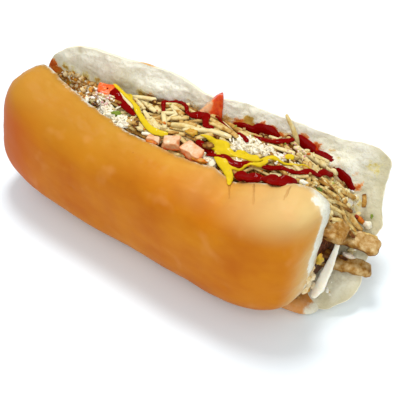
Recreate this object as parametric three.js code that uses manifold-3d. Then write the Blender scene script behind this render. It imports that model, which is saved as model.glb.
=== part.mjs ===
// A long soft roll, cut along one side and opened like a book, lying on its hinge.
// Strips of meat fill the trough, and shoestring potato sticks, grated cheese, diced
// tomato and thick lines of sauce lie on top. X runs along the roll, the camera-side
// half stands on -Y, the taller half leans back on +Y, and Z is up.
import * as THREE from 'three';
import { mergeVertices } from 'three/addons/utils/BufferGeometryUtils.js';
import Module from 'manifold-3d';

const wasm = await Module();
wasm.setup();

// ---------------------------------------------------------------- driving dimensions (mm, degrees)
const GAP = 0.35;              // clearance between pieces that touch
const HINGE_HEIGHT = 2;        // height of the fold line above the table
const MIDDLE = [11.19, 18.31]; // middle of the whole thing seen from above, from the fold line's middle
const AROUND = 58;             // facets round the outline of a half
const ACROSS = 14;             // facets from one pole of a half to the other

// Four-value lists are read at four even places along the roll, left end to right end.
const FRONT_HALF = {
  side: -1, centre: 0, length: 200, flare: 0,
  height: [73.7, 71.4, 73, 83], thickness: [33, 26, 26, 33], lean: [10, 1, -1, 10.7], hollow: [5.7, 5.7, 5.7, 5.7],
  doming: 4, corners: { topLeft: 5.9, topRight: 9.1, bottomLeft: 4.1, bottomRight: 4.4 },
  rimWaves: [[-84, 13, 6.5], [-25, 18, -2.5], [38, 8, 2.7], [50, 8, -3.5], [86, 13, 4.8]],
};
const BACK_HALF = {
  side: 1, centre: 9, length: 200, flare: 11.5,
  height: [92.6, 90.8, 91, 95.2], thickness: [20, 20, 20, 20], lean: [11.6, 23, 34, 45.5], hollow: [3, 2.6, 4.2, 7.7],
  doming: 2.1, corners: { topLeft: 4.2, topRight: 9.5, bottomLeft: 3.7, bottomRight: 6 },
  rimWaves: [[-70, 14, 2.2], [-22, 18, 1.2], [6, 12, -3.4], [97, 13, 4]],
};
const HINGE = { centre: [11, 5.7], halfLength: 94.5, halfWidth: 14, halfHeight: 8.2, sunk: 4, squareness: 4 };

// ---------------------------------------------------------------- small helpers
const radians = THREE.MathUtils.degToRad;
const smooth = (t) => THREE.MathUtils.smoothstep(t, 0, 1);

// cubic through four values at t = -1, -1/3, 1/3 and 1
function along(t, values) {
  const stations = [-1, -1 / 3, 1 / 3, 1];
  return values.reduce((sum, value, i) => {
    const weight = stations.reduce((w, s, j) => (i === j ? w : w * (t - s) / (stations[i] - s)), 1);
    return sum + value * weight;
  }, 0);
}

// smooth curve through [x, value] pairs, flat beyond its ends
function profile(x, pairs) {
  const last = pairs.length - 1;
  if (x <= pairs[0][0]) return pairs[0][1];
  if (x >= pairs[last][0]) return pairs[last][1];
  const i = pairs.findIndex((pair) => pair[0] > x) - 1;
  const [a, b] = [pairs[i], pairs[i + 1]];
  const slopeAt = (k) => {
    const [p, q] = [pairs[Math.max(k - 1, 0)], pairs[Math.min(k + 1, last)]];
    return (q[1] - p[1]) / (q[0] - p[0]);
  };
  const step = b[0] - a[0];
  const t = (x - a[0]) / step;
  const bend = t * (1 - t) * step * (slopeAt(i) * (1 - t) - slopeAt(i + 1) * t);
  const level = a[1] + (b[1] - a[1]) * (3 * t * t - 2 * t * t * t);
  return level + bend;
}

// repeatable value from 0 to 1 for a whole number
function draw(n) {
  const s = Math.sin(n * 12.9898 + 4.1414) * 43758.5453;
  return s - Math.floor(s);
}

// ---------------------------------------------------------------- solids
function bare(geometry) {
  geometry.deleteAttribute('normal');
  geometry.deleteAttribute('uv');
  return mergeVertices(geometry, 1e-5);
}

function toSolid(geometry) {
  const merged = bare(geometry);
  return new wasm.Manifold(new wasm.Mesh({
    numProp: 3,
    vertProperties: new Float32Array(merged.attributes.position.array),
    triVerts: new Uint32Array(merged.index.array),
  }));
}

function toGeometry(solid) {
  const mesh = solid.getMesh();
  const geometry = new THREE.BufferGeometry();
  geometry.setAttribute('position', new THREE.BufferAttribute(mesh.vertProperties, 3));
  geometry.setIndex(new THREE.BufferAttribute(mesh.triVerts, 1));
  geometry.computeVertexNormals();
  return geometry;
}

const join = (solids) => solids.reduce((whole, solid) => whole.add(solid));

// the largest closed body of a solid; loose scraps are dropped
function largestBody(solid) {
  const bodies = solid.decompose();
  return bodies.reduce((best, body) => (body.volume() > best.volume() ? body : best));
}

// ---------------------------------------------------------------- the roll
const waveSum = (x, waves) =>
  waves.reduce((sum, [at, width, rise]) => sum + rise * Math.exp(-(((x - at) / width) ** 2)), 0);

// u runs -1..1 along the roll, s runs -1..1 up the cut face, depth goes into the bread
function onHalf(half, u, s, depth) {
  const x = half.centre + u * half.length / 2;
  const height = along(u, half.height) + waveSum(x, half.rimWaves);
  const up = height * (1 + s) / 2;
  const lean = radians(along(u, half.lean));
  const out = half.side * (depth + along(u, half.hollow) * (1 - s * s));
  const flare = half.flare * (1 - up / height) * smooth((u - 0.2) / 0.8);
  return new THREE.Vector3(
    x + flare,
    up * Math.sin(lean) + out * Math.cos(lean),
    Math.max(HINGE_HEIGHT + up * Math.cos(lean) - out * Math.sin(lean), 0),
  );
}

// low lumps of torn crumb on the cut face
const crumbRelief = (u, s) =>
  0.5 * Math.sin(u * 19 + s * 5) * Math.sin(s * 9 - u * 6) + 0.35 * Math.sin(u * 41 + 2) * Math.cos(s * 17 + u * 11);

function halfGeometry(half, grow) {
  const geometry = bare(new THREE.SphereGeometry(1, AROUND, ACROSS));
  const position = geometry.attributes.position;
  const corner = (cos, sin) => half.corners[(sin > 0 ? 'top' : 'bottom') + (cos > 0 ? 'Right' : 'Left')];
  for (let i = 0; i < position.count; i += 1) {
    const across = half.side * position.getZ(i);
    const rho = Math.min(1, Math.hypot(position.getX(i), across));
    const angle = Math.atan2(across, position.getX(i));
    const [cos, sin] = [Math.cos(angle), Math.sin(angle)];
    const power = corner(cos, sin);
    const reach = rho * (Math.abs(cos) ** power + Math.abs(sin) ** power) ** (-1 / power);
    const [u, s] = [reach * cos, reach * sin];
    const thickness = along(u, half.thickness) + grow;
    const crust = thickness * (1 - rho ** half.doming) ** (1 / half.doming);
    const crumb = (crumbRelief(u, s) - 0.4) * (1 - rho ** 4) - grow;
    const depth = position.getY(i) > 1e-6 ? crust : crumb;
    const point = onHalf(half, u * (1 + grow / 100), s * (1 + grow / 40), depth);
    position.setXYZ(i, point.x, point.y, point.z);
  }
  return geometry;
}

function hingeGeometry(grow) {
  const geometry = bare(new THREE.SphereGeometry(1, 28, 8));
  const position = geometry.attributes.position;
  const square = (a, b) => (Math.abs(a) ** HINGE.squareness + Math.abs(b) ** HINGE.squareness) ** (-1 / HINGE.squareness);
  for (let i = 0; i < position.count; i += 1) {
    const [x, y, z] = [position.getX(i), position.getY(i), position.getZ(i)];
    const rho = Math.hypot(x, z);
    const reach = rho < 1e-9 ? 0 : rho * square(x / rho, z / rho);
    const angle = Math.atan2(-z, x);
    position.setXYZ(
      i,
      HINGE.centre[0] + reach * Math.cos(angle) * (HINGE.halfLength + grow),
      HINGE.centre[1] + reach * Math.sin(angle) * (HINGE.halfWidth + grow),
      Math.max(HINGE.halfHeight * (1 + y) - HINGE.sunk + grow * y, 0),
    );
  }
  return geometry;
}

function rollSolid(grow) {
  return join([
    toSolid(halfGeometry(FRONT_HALF, grow)),
    toSolid(halfGeometry(BACK_HALF, grow)),
    toSolid(hingeGeometry(grow)),
  ]);
}

// ---------------------------------------------------------------- what fills the trough
// v along the cut face that reaches a given height above the table
function facePoint(half, x, height, depth) {
  const u = (x - half.centre) * 2 / half.length;
  const lean = radians(along(u, half.lean));
  const full = along(u, half.height) + waveSum(x, half.rimWaves);
  const s = 2 * (height - HINGE_HEIGHT) / Math.cos(lean) / full - 1;
  const point = onHalf(half, u, s, depth);
  return new THREE.Vector3(x, point.y, point.z);
}

// closed tube through rings of points, with its ends closed by fans
function loft(rings) {
  const count = rings[0].length;
  const vertices = rings.flat().flatMap((p) => [p.x, p.y, p.z]);
  const faces = [];
  for (let r = 0; r < rings.length - 1; r += 1) {
    for (let i = 0; i < count; i += 1) {
      const [a, b] = [r * count + i, r * count + (i + 1) % count];
      faces.push(a, b + count, b, a, a + count, b + count);
    }
  }
  [0, rings.length - 1].forEach((r) => {
    const centre = rings[r].reduce((sum, p) => sum.add(p), new THREE.Vector3()).divideScalar(count);
    const hub = vertices.length / 3;
    vertices.push(centre.x, centre.y, centre.z);
    for (let i = 0; i < count; i += 1) {
      const [a, b] = [r * count + i, r * count + (i + 1) % count];
      faces.push(...(r === 0 ? [hub, a, b] : [hub, b, a]));
    }
  });
  const geometry = new THREE.BufferGeometry();
  geometry.setAttribute('position', new THREE.Float32BufferAttribute(vertices, 3));
  geometry.setIndex(faces);
  return geometry;
}

// height of the filling where it meets the front half and the back half
const FRONT_LEVEL = [[-84, 48], [-70, 56], [-60, 64], [-50, 69], [-25, 68], [0, 70], [25, 71], [50, 71.5], [65, 73.5],
  [78, 74], [87, 64], [95, 49], [104, 33]];
const BACK_LEVEL = [[-84, 50], [-70, 57], [-60, 61], [-47, 67], [-37, 65], [-26, 69], [0, 71.5], [22, 70], [31, 68],
  [50, 69.5], [58, 68], [74, 61], [88, 55], [98, 44], [106, 32]];
const MEAT_SHARE = [[-84, 0.55], [70, 0.55], [98, 0.82]];   // part of that height that is meat
const FLOOR_LEVEL = 13.5;                                    // lowest point of the meat, above the hinge
const CROWN = 3;                                             // how far the toppings bulge up
const INSET = -1.6;                                          // the filling stays this far off the crumb
const FILL = { start: -82, meatEnd: 95, toppingEnd: 98, steps: 15, endShrink: 0.35 };

const levelAt = (x, levels, share) => FLOOR_LEVEL + share * (profile(x, levels) - FLOOR_LEVEL);
const frontPoint = (x, share, depth) => facePoint(FRONT_HALF, x, levelAt(x, FRONT_LEVEL, share), depth);
const backPoint = (x, share, depth) => facePoint(BACK_HALF, x, levelAt(x, BACK_LEVEL, share), depth);

// a point of the toppings' own surface, t = 0 at the front half and 1 at the back half
function crossing(x, share, t, crown) {
  const point = frontPoint(x, share, INSET).lerp(backPoint(x, share, INSET), t);
  point.z += crown * 4 * t * (1 - t);
  return point;
}

// height of the toppings' surface at a place seen from above
function surfaceHeight(x, y) {
  const [front, back] = [frontPoint(x, 1, INSET), backPoint(x, 1, INSET)];
  const t = THREE.MathUtils.clamp((y - front.y) / (back.y - front.y), 0, 1);
  return crossing(x, 1, t, CROWN).z;
}

function fillSolid(lowAt, highAt, lift, crown, end) {
  const rings = [];
  for (let i = 0; i <= FILL.steps; i += 1) {
    const x = FILL.start + (end - FILL.start) * i / FILL.steps;
    const [low, high] = [lowAt(x), highAt(x)];
    const shares = [0, 1 / 3, 2 / 3, 1].map((t) => low + t * (high - low));
    const ring = [
      ...shares.map((share) => frontPoint(x, share, INSET)),
      ...[0.2, 0.4, 0.6, 0.8].map((t) => crossing(x, high, t, crown)),
      ...shares.map((share) => backPoint(x, share, INSET)).reverse(),
      crossing(x, low, 0.5, 0),
    ];
    ring.forEach((point) => { point.z += lift; });
    rings.push(ring);
  }
  [rings[0], rings[FILL.steps]].forEach((ring) => {
    const middle = ring.reduce((sum, p) => sum.add(p), new THREE.Vector3()).divideScalar(ring.length);
    ring.forEach((point) => point.lerp(middle, FILL.endShrink));
  });
  return toSolid(loft(rings));
}

// ---------------------------------------------------------------- bars: sticks, shreds, strips and lines of sauce
// a solid along a few points; half width and half height may vary from its start (0) to its end (1)
function bar(points, halfWidth, halfHeight, sides, steps) {
  const curve = new THREE.CatmullRomCurve3(points);
  const rings = [];
  for (let i = 0; i <= steps; i += 1) {
    const t = i / steps;
    const centre = curve.getPoint(t);
    const ahead = curve.getTangent(t);
    const level = new THREE.Vector3(-ahead.y, ahead.x, 0);
    if (level.length() < 0.05) level.set(1, 0, 0);
    level.normalize();
    const up = new THREE.Vector3().crossVectors(ahead, level).normalize();
    const ring = [];
    for (let k = 0; k < sides; k += 1) {
      const angle = -(k + 0.5) * 2 * Math.PI / sides;
      ring.push(centre.clone()
        .addScaledVector(level, Math.cos(angle) * halfWidth(t))
        .addScaledVector(up, Math.sin(angle) * halfHeight(t)));
    }
    rings.push(ring);
  }
  return toSolid(loft(rings));
}

const spots = (path) => path.map((p) => new THREE.Vector3(...p));

// full in the middle and narrowed to a share of that at both ends
const tapered = (size, endShare) => (t) => size * (endShare + (1 - endShare) * (1 - (2 * t - 1) ** 4));

// ---------------------------------------------------------------- potato sticks
const STICK = { halfThickness: 1.7, bend: 1.6, ends: 0.75 };

// [x, y, heading, length, height over the heap, rise of the far end]
const PLACED_STICKS = [
  [-14, 14, -48, 20, 2, 0], [-8, 19, -50, 15, 1.5, 2], [-9, 31, -10, 11, 2, 0], [-1, 25, 25, 11, 2, 1],
  [6, 20, 22, 18, 2, 1], [17, 25, 36, 28, 2.5, 0], [18, 20, 60, 11, 1.5, 0], [18, 35, -8, 21, 1.5, 0],
  [25, 34, -8, 26, 2.2, 1], [29, 38, -6, 23, 2, 1], [35, 38, -6, 18, 2.5, 1], [58, 48, -15, 14, 2, -2],
  [68, 48, 8, 26, 2, -4], [69, 50, 12, 19, 3, -2], [69, 44, 8, 17, 2, -5], [73, 42, -8, 14, 2, -3],
  [74, 50, 10, 10, 3.5, 0], [-30, 25, -20, 13, 1.5, 0], [-22, 26, -28, 14, 1.5, 1], [-17, 25, -35, 9, 2.5, 0],
];
// sticks that slide down out of the open right end, as pairs of end points
const SLIDING_STICKS = [
  [[80, 32, 66], [99, 43, 51]], [[83, 44, 63], [98, 48, 50]], [[87, 29, 63], [109, 35, 43]],
  [[93, 31, 57], [110, 36, 41]], [[90, 27, 60], [107.5, 32.5, 45]], [[96, 27, 47], [113.5, 32, 38.5]],
  [[82, 20, 67], [98, 27, 55]],
];
const UPRIGHT_STICK = [[60, 48, 64], [56, 49.6, 73], [50, 49.7, 82.5]];
const LOOSE_STICKS = { count: 16, from: -58, to: 92, shortest: 11, longest: 22 };

function stick([x, y, heading, length, lift, rise], seed) {
  const [dx, dy] = [Math.cos(radians(heading)), Math.sin(radians(heading))];
  const bend = STICK.bend * (2 * draw(seed) - 1);
  const at = (t) => {
    const [px, py] = [x + dx * length * t - dy * bend * (1 - 4 * t * t), y + dy * length * t + dx * bend * (1 - 4 * t * t)];
    return new THREE.Vector3(px, py, surfaceHeight(x, y) + lift + rise * (t + 0.5));
  };
  const half = tapered(STICK.halfThickness * (0.85 + 0.3 * draw(seed + 0.5)), STICK.ends);
  return bar([at(-0.5), at(0), at(0.5)], half, half, 4, 2);
}

function straightStick(path, grow) {
  const half = () => STICK.halfThickness + grow;
  return bar(spots(path), half, half, 4, 2 * path.length - 2);
}

function looseStick(n) {
  const x = LOOSE_STICKS.from + (LOOSE_STICKS.to - LOOSE_STICKS.from) * (n + draw(n)) / LOOSE_STICKS.count;
  const place = crossing(x, 1, 0.12 + 0.76 * draw(n + 100), CROWN);
  const length = LOOSE_STICKS.shortest + (LOOSE_STICKS.longest - LOOSE_STICKS.shortest) * draw(n + 200);
  return [x, place.y, -50 + 120 * draw(n + 300), length, 0.6 + 1.2 * draw(n + 400), 2 * draw(n + 500) - 1];
}

// ---------------------------------------------------------------- sauce
// a rounded line of sauce through [x, y] places, resting on the heap
function sauceLine({ path, halfWidth, height, lift }) {
  const points = path.map(([x, y]) => new THREE.Vector3(x, y, surfaceHeight(x, y) + lift));
  return bar(points, tapered(halfWidth, 0.45), tapered(height, 0.5), 6, path.length + 1);
}

const SAUCE = [
  // yellow: the left line, the broad right line, and the branch that runs to the front rim
  { path: [[-49, 25], [-38, 23], [-28, 17], [-18, 11], [-9, 7], [0, 9]], halfWidth: 2, height: 1.8, lift: 2.6 },
  { path: [[24, 23], [33, 18], [42, 21], [52, 25], [64, 32], [78, 38]], halfWidth: 3.4, height: 1.8, lift: 2.6 },
  { path: [[36, 9], [43, 7], [52, 15], [61, 25]], halfWidth: 2.4, height: 1.6, lift: 2.2 },
  // red: the left strip, the loop, the blobs along the back, and the big run at the front rim
  { path: [[-51, 21], [-41, 18], [-31, 13], [-22, 10]], halfWidth: 3.2, height: 2, lift: 2.2 },
  { path: [[-14, 26], [-17, 31], [-11, 34], [-4, 33]], halfWidth: 2.2, height: 1.8, lift: 2.6 },
  { path: [[2, 29], [8, 31], [13, 29]], halfWidth: 3.4, height: 2.2, lift: 2.4 },
  { path: [[28, 10], [36, 12], [48, 15]], halfWidth: 3.2, height: 2, lift: 2.4 },
  { path: [[50, 4], [59, 8], [70, 14]], halfWidth: 4.6, height: 2.6, lift: 2.2 },
  { path: [[57, 19], [68, 26], [79, 34], [83, 42]], halfWidth: 2.6, height: 1.8, lift: 2.4 },
  { path: [[34, 42], [43, 44], [52, 46]], halfWidth: 3.2, height: 2.4, lift: 1.6 },
  { path: [[60, 50], [67, 51], [75, 51]], halfWidth: 3.2, height: 2.4, lift: 2 },
  { path: [[79, 51], [87, 52], [93, 51]], halfWidth: 3.2, height: 2.4, lift: 2 },
];

// ---------------------------------------------------------------- pieces with rounded corners
// a box with soft corners, made from a sphere, for dice of tomato and small lumps
function softBlock(centre, halfSizes, turns, squareness, grow) {
  const geometry = bare(new THREE.SphereGeometry(1, 12, 6));
  const position = geometry.attributes.position;
  const turn = new THREE.Euler(...turns.map(radians));
  for (let i = 0; i < position.count; i += 1) {
    const p = new THREE.Vector3().fromBufferAttribute(position, i);
    const sum = [p.x, p.y, p.z].reduce((total, c) => total + Math.abs(c) ** squareness, 0);
    p.multiplyScalar(sum ** (-1 / squareness));
    p.set(p.x * (halfSizes[0] + grow), p.y * (halfSizes[1] + grow), p.z * (halfSizes[2] + grow));
    p.applyEuler(turn).add(centre);
    position.setXYZ(i, p.x, p.y, p.z);
  }
  return toSolid(geometry);
}

// name, [x, y], height of the middle over the heap, half sizes, turns
const TOMATO_DICE = [
  ['tomato_dice_left', [-46.5, 15.5], 3.2, [4.6, 3.6, 3], [10, 0, 20]],
  ['tomato_dice_rim', [-2.5, 1.5], 1.6, [4, 2.2, 2.2], [0, 10, 15]],
  ['tomato_dice_front', [8, 4], 2.4, [5, 4, 3.2], [0, -8, 25]],
  ['tomato_dice_middle', [21, 5], 2.2, [6.5, 4.2, 3], [5, 5, -5]],
];
const TOMATO_SQUARENESS = 3.4;
// a corner cut from a whole tomato: a triangle seen from its flat side, leaning on the back half
const TOMATO_WEDGE = {
  name: 'tomato_wedge', middle: [10.5, 36.5, 76], outline: [[-8.4, -4], [6.2, -6.6], [6.6, 7.6], [3.6, 7.2]],
  thickness: 6, edge: 0.9, turns: [62, 0, 33],
};

function diceSolid([, [x, y], lift, halfSizes, turns], grow) {
  const centre = new THREE.Vector3(x, y, surfaceHeight(x, y) + lift);
  return softBlock(centre, halfSizes, turns, TOMATO_SQUARENESS, grow);
}

function wedgeSolid(grow) {
  const { middle, outline, thickness, edge, turns } = TOMATO_WEDGE;
  const shape = new THREE.Shape(outline.map(([x, y]) => new THREE.Vector2(x, y)));
  const geometry = new THREE.ExtrudeGeometry(shape, {
    depth: thickness - 2 * edge, steps: 1, bevelEnabled: true,
    bevelSize: edge + grow, bevelThickness: edge + grow, bevelSegments: 2, bevelOffset: -edge,
  });
  geometry.translate(0, 0, edge - thickness / 2);
  geometry.applyMatrix4(new THREE.Matrix4().makeRotationFromEuler(new THREE.Euler(...turns.map(radians), 'ZYX')));
  geometry.translate(...middle);
  return toSolid(geometry);
}

// ---------------------------------------------------------------- grated cheese
// name, [x, y] of the middle, heading, half length, half width, number of shreds that show
const CHEESE = [
  ['cheese_left', [-36, 7], -8, 14, 6, 11],
  ['cheese_middle', [46, 31], 12, 15, 4.6, 12],
  ['cheese_front', [30, 6], 0, 6, 3.6, 5],
];
const SHRED = { halfThickness: 1, shortest: 6, longest: 10 };

function cheeseSolid([, [x, y], heading, halfLength, halfWidth, shreds], seed, grow) {
  const centre = new THREE.Vector3(x, y, surfaceHeight(x, y) + 1.2);
  const mound = softBlock(centre, [halfLength, halfWidth, 2.2], [0, 0, heading], 2.2, grow);
  const parts = [mound];
  const [dx, dy] = [Math.cos(radians(heading)), Math.sin(radians(heading))];
  for (let n = 0; n < shreds; n += 1) {
    const [a, b] = [1.6 * (n + 0.5) / shreds - 0.8, 1.3 * draw(seed + n) - 0.65];
    const [px, py] = [x + dx * a * halfLength - dy * b * halfWidth, y + dy * a * halfLength + dx * b * halfWidth];
    const length = SHRED.shortest + (SHRED.longest - SHRED.shortest) * draw(seed + n + 0.3);
    const turn = radians(360 * draw(seed + n + 0.6));
    const z = surfaceHeight(px, py) + 3.2 - 1.6 * (a * a + b * b);
    const end = (k) => new THREE.Vector3(px + Math.cos(turn) * length * k, py + Math.sin(turn) * length * k, z + 0.8 * draw(seed + n + k));
    const half = () => SHRED.halfThickness + grow;
    parts.push(bar([end(-0.5), end(0.5)], half, half, 3, 1));
  }
  return join(parts);
}

// ---------------------------------------------------------------- strips at the open right end
// path, half width, half thickness
const MEAT_STRIPS = [
  { name: 'meat_slab', path: [[82, 17, 40], [92, 19, 45], [99, 22, 46], [105, 25, 43]], halfWidth: 7, halfHeight: 3 },
  { name: 'meat_strip_upper', path: [[84, 24, 33], [100, 30, 38], [113, 34, 37], [122, 35, 35]], halfWidth: 4.4, halfHeight: 2.8 },
  { name: 'meat_strip_lower', path: [[88, 15, 25], [101, 21.5, 24], [110, 25.5, 23], [116, 29, 21.5], [120, 32, 19]], halfWidth: 4.2, halfHeight: 2.6 },
];
// shorter ends of meat that are part of the filling
const MEAT_ENDS = [
  { path: [[86, 14, 28], [97, 17, 31], [103, 20, 29]], halfWidth: 4, halfHeight: 3 },
  { path: [[86, 5, 30], [96, 5, 36], [102, 5, 39]], halfWidth: 3, halfHeight: 3.4 },
];
// a pale curved slice hanging in the opening: path from its thin top end, half width along it, half thickness
const ONION_SLICE = {
  path: [[103.5, 22, 43], [104, 14, 31], [103, 8, 20], [101, 3.5, 11.5]],
  halfWidths: [[0, 0.9], [0.3, 2.1], [0.75, 3.5], [1, 1.8]], halfThickness: 1.1,
};

function meatStrip({ path, halfWidth, halfHeight }, grow) {
  return bar(spots(path), (t) => tapered(halfWidth, 0.55)(t) + grow, (t) => tapered(halfHeight, 0.5)(t) + grow, 6, 6);
}

function onionSolid(grow) {
  const { path, halfWidths, halfThickness } = ONION_SLICE;
  return bar(spots(path), (t) => profile(t, halfWidths) + grow, () => halfThickness + grow, 6, 8);
}

// ---------------------------------------------------------------- assembly
const meatShare = (x) => profile(x, MEAT_SHARE);
const rollCutter = rollSolid(GAP);
const tomatoCutter = join([wedgeSolid(GAP), ...TOMATO_DICE.map((dice) => diceSolid(dice, GAP))]);
const onionCutter = onionSolid(GAP);

const stripCutter = join(MEAT_STRIPS.map((path) => meatStrip(path, GAP)));
const meat = join([
  fillSolid(() => 0, meatShare, 0, 0, FILL.meatEnd),
  ...MEAT_ENDS.map((path) => meatStrip(path, 0)),
]).subtract(rollCutter).subtract(onionCutter).subtract(stripCutter);
const meatCutter = join([
  fillSolid(() => 0, meatShare, 0.8 * GAP, 0, FILL.meatEnd + GAP),
  ...MEAT_ENDS.map((path) => meatStrip(path, GAP)),
  stripCutter,
]);

const tomatoes = [
  [TOMATO_WEDGE.name, wedgeSolid(0).subtract(rollCutter)],
  ...TOMATO_DICE.map((dice) => [dice[0], diceSolid(dice, 0).subtract(rollCutter)]),
];
const cheeses = CHEESE.map((patch, i) => [
  patch[0],
  cheeseSolid(patch, 40 * (i + 1), 0).subtract(rollCutter).subtract(tomatoCutter),
]);
const cheeseCutter = join(CHEESE.map((patch, i) => cheeseSolid(patch, 40 * (i + 1), GAP)));

const sticks = [
  ...PLACED_STICKS.map((placed, i) => stick(placed, i + 700)),
  ...Array.from({ length: LOOSE_STICKS.count }, (_, n) => stick(looseStick(n), n + 800)),
  ...SLIDING_STICKS.map((path) => straightStick(path, 0)),
];
const heap = join([
  fillSolid(meatShare, () => 1, GAP, CROWN, FILL.toppingEnd),
  ...sticks,
  ...SAUCE.map(sauceLine),
]).subtract(rollCutter).subtract(tomatoCutter).subtract(cheeseCutter).subtract(meatCutter).subtract(onionCutter)
  .subtract(straightStick(UPRIGHT_STICK, GAP));
const uprightStick = straightStick(UPRIGHT_STICK, 0).subtract(rollCutter).subtract(cheeseCutter);

function piece(name, solid, color, roughness) {
  const material = new THREE.MeshStandardMaterial({ color, roughness, metalness: 0 });
  const centred = largestBody(solid).translate([-MIDDLE[0], -MIDDLE[1], 0]);
  const mesh = new THREE.Mesh(toGeometry(centred), material);
  mesh.name = name;
  return mesh;
}

const loadedRoll = new THREE.Group();
loadedRoll.add(piece('bun', rollSolid(0), 0xd08a32, 0.55));
loadedRoll.add(piece('meat_filling', meat, 0x9a6a3a, 0.6));
MEAT_STRIPS.forEach((path) =>
  loadedRoll.add(piece(path.name, meatStrip(path, 0).subtract(rollCutter).subtract(onionCutter), 0xb08452, 0.5)));
loadedRoll.add(piece('potato_stick_heap', heap, 0xd9b36a, 0.6));
loadedRoll.add(piece('potato_stick_upright', uprightStick, 0xe6cf98, 0.55));
loadedRoll.add(piece('onion_slice', onionSolid(0).subtract(rollCutter), 0xf0eedc, 0.5));
tomatoes.forEach(([name, solid]) => loadedRoll.add(piece(name, solid, 0xd8583a, 0.35)));
cheeses.forEach(([name, solid]) => loadedRoll.add(piece(name, solid, 0xf3ecd6, 0.6)));

export default loadedRoll;
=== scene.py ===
"""A loaded hot dog: a long soft roll lying on its fold, opened like a book and filled with
strips of meat, fried potato sticks, grated cheese, tomato and two sauces.

Shapes are worked out in millimetres from the middle of the fold, with X along the roll,
and are moved to the part's own frame, in metres, when a piece is finished."""

import math
import random
from functools import lru_cache

import bmesh
import bpy
import numpy as np
from mathutils import Matrix, Vector, noise
from mathutils.kdtree import KDTree


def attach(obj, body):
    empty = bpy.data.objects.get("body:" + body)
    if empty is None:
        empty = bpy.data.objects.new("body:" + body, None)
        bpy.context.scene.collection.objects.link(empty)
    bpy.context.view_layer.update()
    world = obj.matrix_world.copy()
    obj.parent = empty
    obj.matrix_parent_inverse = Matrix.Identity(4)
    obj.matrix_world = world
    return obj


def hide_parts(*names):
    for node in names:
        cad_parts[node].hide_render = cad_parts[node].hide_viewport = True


bl_info = {
    "name": "Loaded hot dog",
    "version": (1, 0, 0),
    "blender": (4, 5, 0),
    "location": "View3D > Sidebar > Hot dog",
    "description": "Dresses the hot dog's solids with bread, fillings and sauces",
    "category": "Object",
}

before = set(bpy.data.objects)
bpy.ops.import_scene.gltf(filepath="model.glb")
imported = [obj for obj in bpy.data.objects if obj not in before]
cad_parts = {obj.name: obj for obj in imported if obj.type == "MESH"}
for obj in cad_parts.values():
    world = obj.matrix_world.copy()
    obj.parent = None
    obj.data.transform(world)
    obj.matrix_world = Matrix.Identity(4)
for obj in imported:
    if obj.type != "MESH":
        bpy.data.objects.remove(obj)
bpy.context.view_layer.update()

# ------------------------------------------------------------------ where things lie (mm, degrees)
MIDDLE = (11.19, 18.31)      # middle of the footprint, seen from the middle of the fold
HINGE_HEIGHT = 2
# each half of the roll: the side it is on, its middle along the roll, how much further its foot reaches at
# the open end; its height, thickness, lean and hollow at four even places along it; how square its crust
# and its corners are; waves of its rim (place along, reach, rise) and of its torn end (place up, reach,
# rise)
FRONT_HALF = {
    "side": -1, "centre": 0, "length": 200, "flare": 0,
    "height": (73.7, 71.4, 73, 83), "thickness": (33, 26, 26, 33), "lean": (10, 1, -1, 10.7),
    "hollow": (5.7, 5.7, 5.7, 5.7), "doming": 4,
    "corners": {"top_left": 5.9, "top_right": 9.1, "bottom_left": 4.1, "bottom_right": 4.4},
    "rim_waves": ((-84, 13, 6.5), (-25, 18, -2.5), (38, 8, 2.7), (50, 8, -3.5), (86, 13, 4.8)),
    "ragged": ((0.75, 0.35, 2.6), (0.3, 0.12, 1.2), (-0.05, 0.3, 1.4), (-0.3, 0.1, -0.8)),
}
BACK_HALF = {
    "side": 1, "centre": 9, "length": 200, "flare": 11.5,
    "height": (92.6, 90.8, 91, 95.2), "thickness": (20, 20, 20, 20), "lean": (11.6, 23, 34, 45.5),
    "hollow": (3, 2.6, 4.2, 7.7), "doming": 2.1,
    "corners": {"top_left": 4.2, "top_right": 9.5, "bottom_left": 3.7, "bottom_right": 6},
    "rim_waves": ((-70, 14, 2.2), (-22, 18, 1.2), (6, 12, -3.4), (97, 13, 4)),
    "ragged": ((0.93, 0.08, 2.6), (0.62, 0.2, -2.8), (0.24, 0.09, 2.4), (-0.5, 0.16, 1.8), (-0.8, 0.1, -2)),
}
# the fold between them; sunk is how far it is pressed into the table, where it is cut off flat
HINGE = {"centre": (11, 5.7), "half_length": 94.5, "half_width": 14, "half_height": 8.2,
         "sunk": 4, "squareness": 4}

# height of the filling where it meets each half
FRONT_LEVEL = ((-84, 48), (-70, 56), (-60, 64), (-50, 69), (-25, 68), (0, 70), (25, 71), (50, 71.5),
               (65, 73.5), (78, 74), (87, 64), (95, 49), (104, 33))
BACK_LEVEL = ((-84, 50), (-70, 57), (-60, 61), (-47, 67), (-37, 65), (-26, 69), (0, 71.5), (22, 70),
              (31, 68), (50, 69.5), (58, 68), (74, 61), (88, 55), (98, 44), (106, 32))
FLOOR_LEVEL = 13.5      # height of the floor of the trough
CROWN = 3               # how much higher the filling is in its middle than at its edges
INSET = -1.6            # depth at which the filling meets a half, which is just in front of the cut face
FILL_START, FILL_END = -82, 98


# ------------------------------------------------------------------ the forms of the roll
STATIONS = (-1, -1 / 3, 1 / 3, 1)


@lru_cache(maxsize=None)
def cubic(values):
    """Cubic through four values at even places along a half."""
    return np.poly1d(np.polyfit(STATIONS, values, 3))


def wave_sum(x, waves):
    return sum(rise * np.exp(-(((x - at) / width) ** 2)) for at, width, rise in waves)


def ease(t):
    t = np.clip(t, 0, 1)
    return t * t * (3 - 2 * t)


def full_height(half, x):
    return cubic(half["height"])((x - half["centre"]) * 2 / half["length"]) + wave_sum(x, half["rim_waves"])


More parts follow.
